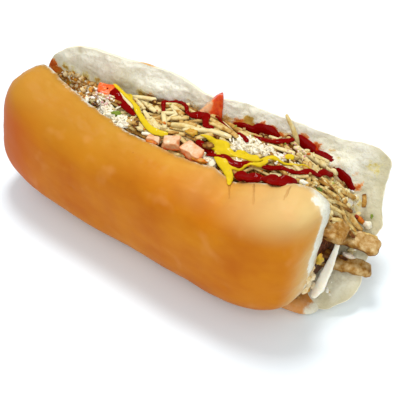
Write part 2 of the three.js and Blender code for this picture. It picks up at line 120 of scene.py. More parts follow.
def on_half(half, u, s, depth):
    """u runs -1..1 along the roll, s runs -1..1 up the cut face, depth goes into the bread."""
    x = half["centre"] + u * half["length"] / 2
    height = full_height(half, x)
    up = height * (1 + s) / 2
    lean = np.radians(cubic(half["lean"])(u))
    out = half["side"] * (depth + cubic(half["hollow"])(u) * (1 - s * s))
    flare = half["flare"] * (1 - up / height) * ease((u - 0.2) / 0.8)
    ragged = wave_sum(s, half["ragged"]) * ease((u - 0.8) / 0.2)
    y = up * np.sin(lean) + out * np.cos(lean)
    z = np.maximum(HINGE_HEIGHT + up * np.cos(lean) - out * np.sin(lean), 0)
    return np.stack(np.broadcast_arrays(x + flare + ragged, y, z), -1)


def face_point(half, x, height, depth):
    """The point of a cut face at a place along the roll and a height above the table."""
    u = (x - half["centre"]) * 2 / half["length"]
    lean = np.radians(cubic(half["lean"])(u))
    s = 2 * (height - HINGE_HEIGHT) / np.cos(lean) / full_height(half, x) - 1
    point = on_half(half, u, s, depth)
    point[..., 0] = x
    return point


def level_at(x, levels, share=1.0):
    stations, heights = zip(*levels)
    return FLOOR_LEVEL + share * (np.interp(x, stations, heights) - FLOOR_LEVEL)


def crossing(x, share, t, crown):
    """A point of the filling, t = 0 at the front half and 1 at the back half."""
    front = face_point(FRONT_HALF, x, level_at(x, FRONT_LEVEL, share), INSET)
    back = face_point(BACK_HALF, x, level_at(x, BACK_LEVEL, share), INSET)
    t = np.asarray(t)[..., None]
    point = front + (back - front) * t
    point[..., 2] += (crown * 4 * t * (1 - t))[..., 0]
    return point


# ------------------------------------------------------------------ what has been piled up so far
# how far the filling that everything lies on is below the top, along the roll
DROP = ((-84, 0.6), (-58, 0.8), (-46, 2.8), (90, 3.0), (104, 1.5))


class Pile:
    """Heights of what lies in the roll, seen from above, on a fine grid."""
    STEP = 0.5
    LOW = (-106, -30)
    SIZE = (460, 220)

    def __init__(self):
        xs = self.LOW[0] + np.arange(self.SIZE[0]) * self.STEP
        ys = self.LOW[1] + np.arange(self.SIZE[1]) * self.STEP
        front = face_point(FRONT_HALF, xs, level_at(xs, FRONT_LEVEL), INSET)
        back = face_point(BACK_HALF, xs, level_at(xs, BACK_LEVEL), INSET)
        lean = np.radians(cubic(BACK_HALF["lean"])((xs - BACK_HALF["centre"]) * 2 / BACK_HALF["length"]))
        t = (ys[None, :] - front[:, 1:2]) / (back[:, 1:2] - front[:, 1:2])
        inside = np.clip(t, 0, 1)
        heap = front[:, 2:3] + (back[:, 2:3] - front[:, 2:3]) * inside + CROWN * 4 * inside * (1 - inside)
        heap -= np.interp(xs, *zip(*DROP))[:, None]
        wall = back[:, 2:3] + (ys[None, :] - back[:, 1:2]) / np.tan(np.maximum(lean, 0.2))[:, None]
        rim = HINGE_HEIGHT + full_height(FRONT_HALF, xs)[:, None]
        self.height = np.where(t > 1, np.maximum(wall, heap), heap)
        self.height = np.where(t < 0, np.maximum(heap, rim), self.height)

    def cell(self, x, y):
        i = int(round((x - self.LOW[0]) / self.STEP))
        j = int(round((y - self.LOW[1]) / self.STEP))
        return min(max(i, 0), self.SIZE[0] - 1), min(max(j, 0), self.SIZE[1] - 1)

    def at(self, x, y):
        return float(self.height[self.cell(x, y)])

    def around(self, x, y, reach):
        """The highest and the mean height within a square, and its slopes along the roll and across it."""
        i, j = self.cell(x, y)
        n = max(1, int(reach / self.STEP))
        near = self.height[max(i - n, 0):i + n + 1, max(j - n, 0):j + n + 1]
        span = 2 * n * self.STEP
        along = float(near[-1].mean() - near[0].mean()) / span
        across = float(near[:, -1].mean() - near[:, 0].mean()) / span
        return float(near.max()), float(near.mean()), along, across

    def bury(self, point, radius):
        """Raises the pile under a lump of that radius."""
        i, j = self.cell(point[0], point[1])
        reach = int(radius / self.STEP)
        for a in range(max(i - reach, 0), min(i + reach + 1, self.SIZE[0])):
            for b in range(max(j - reach, 0), min(j + reach + 1, self.SIZE[1])):
                off = ((a - i) ** 2 + (b - j) ** 2) * self.STEP ** 2
                if off <= radius * radius:
                    top = point[2] + math.sqrt(radius * radius - off)
                    self.height[a, b] = max(self.height[a, b], top)


# ------------------------------------------------------------------ meshes
TO_FRAME = Matrix.Scale(0.001, 4) @ Matrix.Translation((-MIDDLE[0], -MIDDLE[1], 0))


def add_piece(name, bm, material, replaced=()):
    """Puts a finished shape in the scene, on the body it belongs to."""
    bm.transform(TO_FRAME)
    for face in bm.faces:
        face.smooth = True
    mesh = bpy.data.meshes.new(name)
    bm.to_mesh(mesh)
    bm.free()
    mesh.materials.append(material)
    piece = bpy.data.objects.new(name, mesh)
    bpy.context.scene.collection.objects.link(piece)
    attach(piece, "root")
    if replaced:
        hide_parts(*replaced)


def positions(bm):
    return np.array([v.co for v in bm.verts], float).reshape(-1, 3)


def move_to(bm, points):
    for vert, point in zip(bm.verts, points):
        vert.co = point


def set_layer(bm, name, values):
    layer = bm.verts.layers.float.get(name) or bm.verts.layers.float.new(name)
    for vert, value in zip(bm.verts, values):
        vert[layer] = value


SLIMNESS = 8      # how much longer than wide a bar is when its edges are made soft


@lru_cache(maxsize=None)
def bar_shape(rings, softness, segments):
    """A bar from x = -1 to 1 with soft edges, 2 wide and 2 high, cut into rings along its length."""
    bm = bmesh.new()
    bmesh.ops.create_cube(bm, size=2)
    bmesh.ops.scale(bm, verts=bm.verts[:], vec=(SLIMNESS, 1, 1))
    bmesh.ops.bevel(bm, geom=bm.edges[:], offset=softness, segments=segments, affect="EDGES",
                    profile=0.5, material=-1)
    bmesh.ops.scale(bm, verts=bm.verts[:], vec=(1 / SLIMNESS, 1, 1))
    for k in range(1, rings):
        bmesh.ops.bisect_plane(bm, geom=bm.verts[:] + bm.edges[:] + bm.faces[:],
                               plane_co=(2 * k / rings - 1, 0, 0), plane_no=(1, 0, 0))
    mesh = bpy.data.meshes.new("bar shape")
    bm.to_mesh(mesh)
    bm.free()
    return mesh


@lru_cache(maxsize=None)
def lump_shape(divisions):
    bm = bmesh.new()
    bmesh.ops.create_icosphere(bm, subdivisions=divisions, radius=1)
    mesh = bpy.data.meshes.new("lump shape")
    bm.to_mesh(mesh)
    bm.free()
    return mesh


def new_verts(bm, shape):
    """Adds a copy of a shape to a mesh and returns its vertices."""
    before = len(bm.verts)
    bm.from_mesh(shape)
    bm.verts.ensure_lookup_table()
    return bm.verts[before:]


def curve_through(points):
    """A smooth curve through points, as a function of t from 0 to 1."""
    points = [Vector(p) for p in points]
    points = [2 * points[0] - points[1]] + points + [2 * points[-1] - points[-2]]
    spans = len(points) - 3

    def at(t):
        k = min(int(t * spans), spans - 1)
        f = t * spans - k
        a, b, c, d = points[k:k + 4]
        return 0.5 * (2 * b + (c - a) * f + (2 * a - 5 * b + 4 * c - d) * f * f
                      + (3 * b - 3 * c + d - a) * f ** 3)
    return at


# pushes in the three directions are read from the same noise at places that are far apart
APART = (Vector((9.3, -1.5, -8.0)), Vector((0, 0, 0)), Vector((6.3, 11.1, 4.5)))
LOOK_AHEAD = 0.02      # how far before and behind a place the direction of a path is taken


def wander(place):
    """A smooth random push that depends on the place alone."""
    return Vector([noise.noise(place + shift) for shift in APART])


def turned(degrees):
    about_x, about_y, about_z = [math.radians(angle) for angle in degrees]
    return (Matrix.Rotation(about_z, 3, "Z") @ Matrix.Rotation(about_y, 3, "Y")
            @ Matrix.Rotation(about_x, 3, "X"))


def lay_bar(bm, shape, path, width, height, rough, seed, twist, tone):
    """Bends a copy of a bar along a path. Half its width and half its height are functions of how far
    along it a place is, and its tone is a function of the place on the straight bar."""
    at = curve_through(path)
    tone_layer = bm.verts.layers.float["tone"]
    shift = Vector((seed * 5.3, seed * 2.9, seed * 7.7))
    for vert in new_verts(bm, shape):
        vert[tone_layer] = tone(vert.co)
        t = (vert.co.x + 1) / 2
        centre = at(min(max(t, 0), 1))
        ahead = (at(min(t + LOOK_AHEAD, 1)) - at(max(t - LOOK_AHEAD, 0))).normalized()
        level = Vector((-ahead.y, ahead.x, 0))
        if level.length < 0.05:
            level = Vector((1, 0, 0))
        level.normalize()
        up = ahead.cross(level).normalized()
        cos, sin = math.cos(twist * (t - 0.5)), math.sin(twist * (t - 0.5))
        side, top = level * cos + up * sin, up * cos - level * sin
        place = centre + side * vert.co.y * width(t) + top * vert.co.z * height(t)
        vert.co = place + wander(place / (3 * rough + 0.8) + shift) * rough


def lay_lump(bm, shape, centre, sizes, turns, rough, seed, tone):
    """Adds an uneven lump; sizes are half sizes and turns are degrees."""
    tone_layer = bm.verts.layers.float["tone"]
    turn = turned(turns)
    shift = Vector((seed * 3.1, seed * 1.3, seed * 2.7))
    for vert in new_verts(bm, shape):
        out = vert.co * (1 + rough * noise.noise(vert.co * 1.6 + shift)
                         + 0.4 * rough * noise.noise(vert.co * 4 + shift))
        vert.co = turn @ Vector((out.x * sizes[0], out.y * sizes[1], out.z * sizes[2])) + Vector(centre)
        vert[tone_layer] = tone


def tapered(size, end_share):
    """Half a width that falls to a share of itself at both ends."""
    return lambda t: size * (end_share + (1 - end_share) * (1 - (2 * t - 1) ** 4))


def profile(x, pairs):
    places, values = zip(*pairs)
    return float(np.interp(x, places, values))


# ------------------------------------------------------------------ shader nodes
def rgb(red, green, blue):
    """A colour given as it looks on a screen, 0 to 255, as the linear one that shaders use."""
    def linear(value):
        value /= 255
        return value / 12.92 if value <= 0.04045 else ((value + 0.055) / 1.055) ** 2.4
    return (linear(red), linear(green), linear(blue), 1)


class Value:
    """One output of a node. The usual operators add the Math nodes that work them out."""

    def __init__(self, paint, socket):
        self.paint = paint
        self.socket = socket

    def math(self, operation, *others):
        return self.paint.add("Math", {"operation": operation}, dict(enumerate((self, *others))))

    def clamped(self):
        return self.paint.add("Clamp", {}, {"Value": self})

    def __add__(self, other):
        return self.math("ADD", other)

    def __mul__(self, other):
        return self.math("MULTIPLY", other)

    def __sub__(self, other):
        return self.math("SUBTRACT", other)

    def __truediv__(self, other):
        return self.math("DIVIDE", other)

    def __pow__(self, other):
        return self.math("POWER", other)

    def __rsub__(self, other):
        return self.paint.add("Math", {"operation": "SUBTRACT"}, {0: other, 1: self})

    def __rtruediv__(self, other):
        return self.paint.add("Math", {"operation": "DIVIDE"}, {0: other, 1: self})

    __radd__ = __add__
    __rmul__ = __mul__


class Paint:
    """A material, and the nodes that paint it."""

    def __init__(self, name):
        self.material = bpy.data.materials.new(name)
        self.material.use_nodes = True
        self.tree = self.material.node_tree
        self.tree.nodes.clear()
        self.place = self.add("TexCoord", {}, {}, "Object")

    def add(self, kind, settings, sockets, output=0):
        node = self.tree.nodes.new("ShaderNode" + kind)
        for key, value in settings.items():
            if key == "stops":
                self.set_stops(node.color_ramp, value)
            else:
                setattr(node, key, value)
        for key, value in sockets.items():
            if isinstance(value, Value):
                self.tree.links.new(value.socket, node.inputs[key])
            else:
                node.inputs[key].default_value = value
        return Value(self, node.outputs[output])

    @staticmethod
    def set_stops(ramp, stops):
        for k, (position, color) in enumerate(stops):
            stop = ramp.elements[k] if k < 2 else ramp.elements.new(position)
            stop.position = position
            stop.color = color

    def attribute(self, name):
        return self.add("Attribute", {"attribute_name": name}, {}, "Fac")

    def stretched(self, x, y, z):
        return self.add("Mapping", {}, {"Vector": self.place, "Scale": (x, y, z)})

    def noise(self, size_mm, detail, rough, where=None):
        """Smooth noise about 0.5, with lumps of that size."""
        return self.add("TexNoise", {}, {"Vector": where or self.place, "Scale": 1000 / size_mm,
                                         "Detail": detail, "Roughness": rough})

    def spots(self, apart_mm):
        """How far away the nearest of many scattered spots is."""
        return self.add("TexVoronoi", {}, {"Vector": self.place, "Scale": 1000 / apart_mm}, "Distance")

    def range(self, value, low, high):
        """0 below low and 1 above high, smooth between."""
        return self.add("MapRange", {"interpolation_type": "SMOOTHSTEP"},
                        {"Value": value, "From Min": low, "From Max": high})

    def mix(self, share, first, second):
        return self.add("Mix", {"data_type": "RGBA"}, {0: share, 6: first, 7: second}, 2)

    def ramp(self, value, stops):
        return self.add("ValToRGB", {"stops": stops}, {0: value})

    def bump(self, height, distance_mm, strength=1.0, under=None):
        sockets = {"Height": height, "Distance": distance_mm / 1000, "Strength": strength}
        if under is not None:
            sockets["Normal"] = under
        return self.add("Bump", {}, sockets)

    def creases(self, lines, half_width, lowest):
        """1 along thin lines that are given by two ends seen from above, on what is higher than lowest."""
        apart = [self.add("SeparateXYZ", {}, {"Vector": self.place}, axis) for axis in "XYZ"]
        x, y, z = [value * 1000 + shift for value, shift in zip(apart, (*MIDDLE, 0))]
        found = None
        for (ax, ay), (bx, by) in lines:
            dx, dy = bx - ax, by - ay
            t = (((x - ax) * dx + (y - ay) * dy) / (dx * dx + dy * dy)).clamped()
            wobble = (self.noise(3, 2, 0.5) - 0.5) * 2
            away = (((x - ax - t * dx) ** 2 + (y - ay - t * dy) ** 2) ** 0.5) + wobble
            here = (1 - self.range(away, half_width * 0.3, half_width * 1.6)) * (1 - t * 0.6)
            found = here if found is None else found.math("MAXIMUM", here)
        return found * self.range(z, lowest, lowest + 4)

    def mixed(self, color, layers):
        """A colour with others laid over it in turn, each with its share."""
        for share, over in layers:
            color = self.mix(share, color, over)
        return color

    def finish(self, color, roughness, constants, normal=None):
        """Ends the material with its shader; constants are sockets that are the same all over."""
        sockets = {"Base Color": color, "Roughness": roughness, **constants}
        if normal is not None:
            sockets["Normal"] = normal
        shader = self.add("BsdfPrincipled", {}, sockets)
        output = self.tree.nodes.new("ShaderNodeOutputMaterial")
        self.tree.links.new(shader.socket, output.inputs["Surface"])
        return self.material


# ------------------------------------------------------------------ finishes
def shown(red, green, blue):
    """A screen colour as settings hold it, without its fourth value."""
    return rgb(red, green, blue)[:3]


def crust_color(paint, layer, fine, blotch, streak, crease):
    """Golden brown, paler near the cut, with painted light where the light falls, painted shade in the
    creases and on the upper left, and blotches and flour at the rim.
    """
    baked = paint.range(layer["depth"], 0, 24) * 0.42 + (blotch - 0.5) * 0.9 + (streak - 0.5) * 0.3 + 0.34
    brown = paint.ramp(baked, ((0.1, rgb(214, 162, 70)), (0.36, rgb(206, 140, 40)),
                               (0.62, rgb(198, 119, 12)), (0.95, rgb(182, 96, 0))))
    rosy = paint.range(paint.noise(16, 2, 0.5, paint.stretched(1, 1.3, 0.8)), 0.58, 0.75)
    freckle = 1 - paint.range(paint.spots(13), 0.0, 0.06)
    floury = (paint.range(blotch, 0.3, 0.6) + layer["pale"] * 0.7).clamped()
    at_rim = paint.range(layer["pale"] + (fine - 0.5) * 0.3 + (blotch - 0.5) * 0.4, 0.15, 0.95)
    return paint.mixed(brown, (
        # the ochre tint is partly painted shade, darkening the upper left of the crust where the light
        # falls
        (layer["ochre"] * 0.6, rgb(178, 128, 36)), (layer["amber"] * 0.85, rgb(184, 82, 0)),
        # painted light where the light falls on the top and the open end
        (layer["glow"] * 0.75, rgb(218, 188, 126)), (rosy * 0.16, rgb(230, 168, 110)),
        # the freckles are the crust's own; the crease colour is painted shade in the creases
        (freckle * 0.5, rgb(150, 80, 20)), (crease * 0.5, rgb(170, 104, 40)),
        (at_rim, paint.mix(floury, rgb(222, 184, 122), rgb(240, 230, 202)))))


def crumb_color(paint, layer, fine, pores):
    """Cream, torn and full of small holes, with what has soaked into it and painted shade where it is set
    back and towards the ends.
    """
    cloud = paint.range(paint.noise(20, 2, 0.5), 0.45, 0.7)
    soaked = paint.range(layer["soak"] * 1.2 + (paint.noise(3, 4, 0.7) - 0.5) * 1.6, 0.2, 0.85)
    stain = paint.ramp(layer["hue"] + (fine - 0.5) * 0.8, (
        (0.0, rgb(190, 162, 66)), (0.35, rgb(184, 116, 22)),
        (0.65, rgb(204, 92, 8)), (1.0, rgb(160, 24, 0))))
    halo = paint.mix(paint.range(layer["hue"], 0.15, 0.5), rgb(218, 204, 140), rgb(228, 156, 92))
    return paint.mixed(rgb(216, 206, 168), (
        (pores * 0.4 + 0.6, rgb(238, 235, 220)),
        # painted shade where the crumb is set back and towards the ends
        (paint.range(layer["recess"], 0.3, 1.7) * 0.9, rgb(196, 186, 148)),
        (cloud * 0.3, rgb(232, 226, 192)), (paint.range(soaked, 0.0, 0.55) * 0.9, halo),
        (paint.range(soaked, 0.4, 1.0) * 0.92, stain)))


def bread_finish():
    """Golden crust and cream crumb; the layers of the mesh say which is where."""
    paint = Paint("baked bread")
    layer = {name: paint.attribute(name) for name in BREAD_LAYERS}
    fine = paint.noise(4, 4, 0.6)
    blotch = paint.noise(34, 3, 0.55)
    streak = paint.noise(9, 3, 0.6, paint.stretched(0.35, 1, 1))
    pores = paint.range(paint.noise(1.5, 4, 0.65), 0.34, 0.54)
    crease = paint.creases(CREASES, CREASE_HALF_WIDTH, CREASE_LOWEST)
    crumb = paint.range(layer["crumb"] + (fine - 0.5) * 0.8, 0.35, 0.6)
    color = paint.mix(crumb, crust_color(paint, layer, fine, blotch, streak, crease),
                      crumb_color(paint, layer, fine, pores))
    skin = paint.bump(paint.noise(2.2, 3, 0.6) * 0.3 + streak * 1.5, 0.3, 0.35)
    folds = paint.bump(1 - crease, 0.5, 0.8, skin)
    holes = paint.bump((pores + paint.noise(4, 3, 0.6) * 1.5) * layer["crumb"], 0.35, 0.5, folds)
    constants = {"Subsurface Weight": 0.06, "Subsurface Scale": 0.003, "Subsurface Radius": (1.0, 0.6, 0.3),
                 "Specular IOR Level": 0.08}
    return paint.finish(color, crumb * 0.3 + 0.46, constants, holes)


# colour stops, grain in mm, swing of the grain, roughness, relief in mm, glow under the skin, shine
FOODS = {
    "fried potato": (((0.0, (228, 213, 162)), (0.35, (212, 185, 118)), (0.65, (184, 134, 58)),
                      (1.0, (104, 54, 14))), 2.6, 1.1, 0.45, 0.25, 0.06, 0.12),
    "mixed filling": (((0.0, (214, 158, 68)), (0.3, (180, 110, 34)), (0.6, (124, 60, 14)),
                       (1.0, (58, 18, 4))), 2.8, 2.0, 0.4, 1.0, 0.0, 0.15),
    "grilled meat": (((0.0, (228, 208, 168)), (0.25, (200, 168, 114)), (0.55, (160, 112, 42)),
                      (0.8, (104, 58, 20)), (1.0, (50, 18, 4))), 4.0, 1.3, 0.4, 1.1, 0.04, 0.15),
    "grated cheese": (((0.0, (248, 240, 218)), (0.6, (238, 224, 190)), (1.0, (214, 186, 132))),
                      2.5, 0.8, 0.5, 0.2, 0.15, 0.12),
    "onion": (((0.0, (250, 246, 230)), (0.5, (238, 228, 200)), (0.75, (236, 196, 186)),
               (1.0, (204, 120, 130))), 2.2, 0.8, 0.32, 0.25, 0.2, 0.2),
    "tomato": (((0.0, (222, 194, 160)), (0.3, (220, 160, 110)), (0.6, (226, 94, 24)), (1.0, (198, 34, 0))),
               3.2, 1.0, 0.22, 0.45, 0.06, 0.3),
    "herbs": (((0.0, (190, 194, 96)), (0.5, (122, 142, 40)), (1.0, (58, 76, 22))),
              2.0, 1.0, 0.4, 0.3, 0.0, 0.15),
    "roast pepper": (((0.0, (190, 156, 50)), (0.4, (206, 118, 22)), (0.7, (184, 60, 8)),
                      (1.0, (104, 16, 2))), 2.4, 1.2, 0.35, 0.4, 0.0, 0.2),
    "crumbs": (((0.0, (246, 232, 196)), (0.4, (222, 186, 120)), (0.7, (186, 124, 36)), (1.0, (124, 62, 8))),
               2.2, 1.0, 0.6, 0.4, 0.0, 0.05),
}


@lru_cache(maxsize=None)
def food_finish(name):
    """A food whose colour runs along its tone, with grain on top. Made once and used by all its pieces."""
    stops, grain, swing, roughness, relief, under, shine = FOODS[name]
    paint = Paint(name)
    grains = paint.noise(grain, 3, 0.62)
    color = paint.ramp(paint.attribute("tone") + (grains - 0.5) * swing, [(at, rgb(*c)) for at, c in stops])
    bump = paint.bump(grains + paint.noise(grain * 0.35, 3, 0.6) * 0.6, relief, 0.6)
    constants = {"Subsurface Weight": under, "Subsurface Scale": 0.002,
                 "Subsurface Radius": (1.0, 0.7, 0.4), "Specular IOR Level": shine}
    return paint.finish(color, grains * 0.2 + (roughness - 0.1), constants, bump)


def sauce_finish(name, thick, thin, roughness, shine):
    """Thick sauce in the middle of a line, thinner and clearer where it runs out."""
    paint = Paint(name)
    shade = paint.noise(5, 2, 0.5)
    color = paint.mix(paint.range(paint.attribute("tone") + (shade - 0.5) * 0.8, 0.35, 1.0), thick, thin)
    relief = paint.bump(paint.noise(2.6, 3, 0.6), 0.5, 0.4)
    constants = {"Specular IOR Level": shine, "Coat Weight": 0.2, "Coat Roughness": 0.06, "Coat IOR": 1.3}
    return paint.finish(color, shade * 0.1 + (roughness - 0.05), constants, relief)


# ------------------------------------------------------------------ settings a user would change
class BreadSettings(bpy.types.PropertyGroup):
    around: bpy.props.IntProperty(name="Facets around", description="Facets round the outline of a half",
                                  default=500, min=40)
    across: bpy.props.IntProperty(name="Facets across", description="Facets from one pole to the other",
                                  default=180, min=16)
    tear: bpy.props.FloatProperty(name="Tear", description="How rough the torn crumb is, in millimetres",
                                  default=1.0, min=0)


class FillingSettings(bpy.types.PropertyGroup):
    stick: bpy.props.FloatProperty(name="Stick", default=1.25, min=0.3,
                                   description="Half the thickness of a potato stick, in millimetres")
    loose_sticks: bpy.props.IntProperty(name="Loose sticks", description="Potato sticks laid by rule",
                                        default=330, min=0)
    shred: bpy.props.FloatProperty(name="Shred", default=0.42, min=0.2,
                                   description="Half the thickness of a cheese shred, in millimetres")
    ketchup: bpy.props.FloatVectorProperty(name="Ketchup", description="Colour of the red sauce",
                                           subtype="COLOR", default=shown(122, 2, 0))
    mustard: bpy.props.FloatVectorProperty(name="Mustard", description="Colour of the yellow sauce",
                                           subtype="COLOR", default=shown(214, 184, 26))


class StageSettings(bpy.types.PropertyGroup):
    floor: bpy.props.FloatVectorProperty(name="Floor", description="Colour of the floor",
                                         subtype="COLOR", default=(0.85, 0.915, 0.955))
    key_power: bpy.props.FloatProperty(name="Key light", description="Power of the main light, in watts",
                                       default=8.8, min=0)
    fill_power: bpy.props.FloatProperty(name="Fill light", default=8.0, min=0,
                                        description="Power of the wide front light, in watts")
    sky: bpy.props.FloatProperty(name="Sky", description="Strength of the light from all round",
                                 default=0.64, min=0)


# ------------------------------------------------------------------ the roll
# lobes and hollows of the torn face: place along, height, half length, half height, rise
LOBES = (
    (-22, 75, 15, 5, 1.8), (-24, 67.5, 12, 3.5, -1.6), (-45, 70, 8, 4, -1.2), (-52, 80, 14, 6, 0.9),
    (-76, 80, 10, 8, 0.8), (-70, 85, 1.6, 6, -0.9), (17, 84, 7, 6, 1.6), (26, 80, 5, 6, -0.8),
    (45, 76, 16, 4, 0.8), (70, 68, 16, 5, -0.7), (92, 62, 10, 7, 0.8), (104, 30, 7, 12, -1.2),
    (110, 16, 8, 6, 0.8), (104, 46, 5, 5, 0.9),
)
# what has soaked into it: place along, height, reach, strength, hue from olive to red
STAINS = (
    (-87, 72, 3.5, 1.0, 0.75), (-85, 68, 3.5, 1.2, 0.6), (-82, 66, 4, 1.2, 0.35), (-78, 65, 4, 1.1, 0.3),
    (-74, 64, 4.5, 1.0, 0.25), (-69, 63, 4.5, 1.0, 0.2), (-64, 65, 4, 0.9, 0.15), (-78, 73, 3, 0.7, 0.1),
    (-73, 71, 3.5, 0.6, 0.1), (-66, 70, 4, 0.6, 0.05), (-59, 70, 3, 0.6, 0.1), (-45, 67, 4, 0.6, 0.2),
    (-31, 69, 4, 0.8, 0.15), (-26, 68, 4, 0.9, 0.35), (-18, 68, 4, 0.6, 0.4), (25, 68, 4, 0.9, 0.6),
    (30, 71, 3, 1.1, 0.1), (32, 68, 3, 1.0, 0.3), (38, 69.6, 2.8, 1.3, 0.85), (43, 68.8, 2.8, 1.3, 0.85),
    (48, 67, 2.8, 0.9, 0.7), (60, 68.4, 3.4, 0.8, 0.75), (68, 66.4, 3.2, 0.7, 0.75),
    (76, 62, 4, 0.4, 0.3), (84, 60, 3, 0.3, 0.4), (92, 57, 3, 0.3, 0.4), (96, 52, 2.5, 0.7, 0.6),
    (77, 66, 2, 0.45, 0.3), (82, 64, 2.5, 0.4, 0.2), (100, 62, 6, 0.42, 0.0), (100, 44, 3, 0.5, 0.1),
)
# dents and blisters of the crust: place, reach, rise
DENTS = (
    ((-47, -19, 70), 4, -0.5), ((-40, -20, 68), 4.5, -0.6), ((-33, -22, 66), 4, -0.5),
    ((34, -16, 75), 7, 0.5), ((6, -12, 72), 9, 0.4), ((-60, -12, 76), 9, 0.5), ((62, -28, 62), 2, -0.4),
    ((68, -30, 32), 2, -0.4), ((-35, -31, 42), 2, -0.4), ((20, -30, 50), 12, 0.4),
    ((-10, -31, 40), 14, -0.4),
)
# creases that run down the crust from the rim, bumped in and darkened with painted shade: two ends of each,
# seen from above, and where they stop
CREASES = (((49.5, -2), (56, -12)), ((61, 3), (70.5, -12)), ((81, 5), (83.5, -5)))
CREASE_HALF_WIDTH = 0.4
CREASE_LOWEST = 60
RIM_CRUST = (-31, 5)      # middle and half length of the stretch where crust shows on the back half's rim
RIM_FROM = 0.9            # share of the way to the outline from which on the rim is torn
TORN_FROM = 90            # where the crust of the front half starts to tear towards the open end
# what the mesh of the bread carries for its finish, each about 0 to 1 unless it says otherwise:
# crumb or crust, depth into the bread in mm, strength and hue of what has soaked in, how floury it is, the
# painted light on the front crust, the painted shade where the crumb is set back and towards the ends of
# the back half, and the two tints of the front crust, of which the ochre one is partly painted shade
BREAD_LAYERS = ("crumb", "depth", "soak", "hue", "pale", "glow", "recess", "amber", "ochre")


def half_places(half, sphere):
    """Where each point of a sphere lies on a half: along it, up it, depth, share of the way to its outline,
    and whether it is on the crust."""
    x, y, z = sphere.T
    rho = np.minimum(np.hypot(x, y), 1)
    angle = np.arctan2(y, x)
    cos, sin = np.cos(angle), np.sin(angle)
    corners = half["corners"]
    power = np.where(sin > 0, np.where(cos > 0, corners["top_right"], corners["top_left"]),
                     np.where(cos > 0, corners["bottom_right"], corners["bottom_left"]))
    on_crust = z > 1e-6
    spread = np.where(on_crust, rho, (2 / np.pi) * np.arcsin(rho))
    reach = spread * (np.abs(cos) ** power + np.abs(sin) ** power) ** (-1 / power)
    u, s = reach * cos, reach * sin
    crust = cubic(half["thickness"])(u) * (1 - rho ** half["doming"]) ** (1 / half["doming"])
    swells = (0.5 * np.sin(u * 19 + s * 5) * np.sin(s * 9 - u * 6)
              + 0.35 * np.sin(u * 41 + 2) * np.cos(s * 17 + u * 11) - 0.4)
    depth = np.where(on_crust, crust, swells * (1 - spread ** 4))
    return u, s, depth, spread, on_crust


def crust_relief(p, torn, seed):
    """How far the crust stands out at a place, which is more where it is torn."""
    offset = 0.7 * noise.noise(p / 26 + Vector((seed, 0, 0))) + 0.2 * noise.noise(p / 8)
    if torn > 0:
        offset += torn * (1.0 * noise.noise(p / 2.2) + 1.4 * noise.noise(p / 5) - 0.5)
    return offset


def crumb_relief(p, tear, from_edge, seed):
    """How far the torn crumb stands out at a place, which is less near the edge."""
    lumps = noise.fractal(p / 15 + Vector((seed, 3, 1)), 0.85, 2.1, 5)
    holes = noise.turbulence(p / 6, 3, False)
    fine = noise.noise(p / 1.9) * 0.16
    return tear * (1.3 * lumps - 0.8 * holes + 0.35 + fine) * min(1, from_edge * 14 + 0.15)


def rim_relief(p, edge, tear, seed):
    """How far the rim is torn up or along at a place."""
    return edge * tear * (0.9 * noise.noise(p / 7 + Vector((0, seed, 0))) + 0.5 * noise.noise(p / 2.6))


def back_layers(x, z, u, s, depth):
    """What has soaked into the back half, and how pale its crust is."""
    soak, hue = np.zeros(len(x)), np.zeros(len(x))
    for at, height, size, strength, tint in STAINS:
        here = strength * np.exp(-((x - at) ** 2 + (z - height) ** 2) / size ** 2)
        hue = np.where(here > soak, tint, hue)
        soak = np.maximum(soak, here)
    above = z - np.interp(x, *zip(*BACK_LEVEL))
    line = 0.45 * np.exp(-np.maximum(above, 0) / 2.5) * np.clip((97 - x) / 5, 0, 1)
    hue = np.where(line > soak, 0.3, hue)
    soak = np.maximum(soak, line)
    showing = np.exp(-((x - RIM_CRUST[0]) / RIM_CRUST[1]) ** 2)
    edge = np.maximum(ease((s - 0.6) / 0.4), ease((u - 0.76) / 0.24))
    edge = np.maximum(edge, ease((-0.8 - u) / 0.2) * 0.8)
    pale = np.maximum(ease((11 - depth) / 14), 0.34 + 0.6 * edge)
    pale *= 1 - 0.6 * showing * ease((s - 0.8) / 0.15)
    return {"soak": soak, "hue": hue, "pale": pale}


def front_layers(x, z, s, depth, low):
    """How pale the crust of the front half is, the painted light on it and its tints, the ochre one partly
    painted shade; low is how much further it is torn there.
    """
    above_table = ease((z - 32) / 24)
    corner = np.clip((x - 86) / 8, 0, 1) * np.clip(1.2 - depth / 2.5, 0, 1) * np.clip((s - 0.6) * 3, 0, 1)
    pale = 0.7 * np.clip(1.7 + low / 12 - depth / 9, 0, 1) * np.clip((x - TORN_FROM + 1.6 * low) / 8, 0, 1)
    pale = np.maximum(pale * (0.6 + 0.4 * above_table), corner)
    pale = np.maximum(pale, 0.35 * np.clip(1 - depth / 3, 0, 1))
    # painted light: lighter towards the top and the open end, and on the side of the open end
    glow = ease((z - 65) / 21) * (0.1 + 0.9 * np.clip((x - 10) / 80, 0, 1) ** 1.1)
    glow += 0.3 * ease((x - 90) / 8) * ease((z - 76) / 7)
    glow += 0.65 * ease((22 - depth) / 10) * ease((x - 88) / 8) * ease((72 - z) / 14)
    return {"pale": pale, "glow": glow,
            "amber": np.clip((-54 - x) / 24, 0, 1) * np.clip((76 - z) / 16, 0, 1),
            # a duller ochre tint, partly painted shade on the upper left
            "ochre": np.clip((z - 56) / 16, 0, 1) * np.clip((30 - x) / 50, 0, 1)}


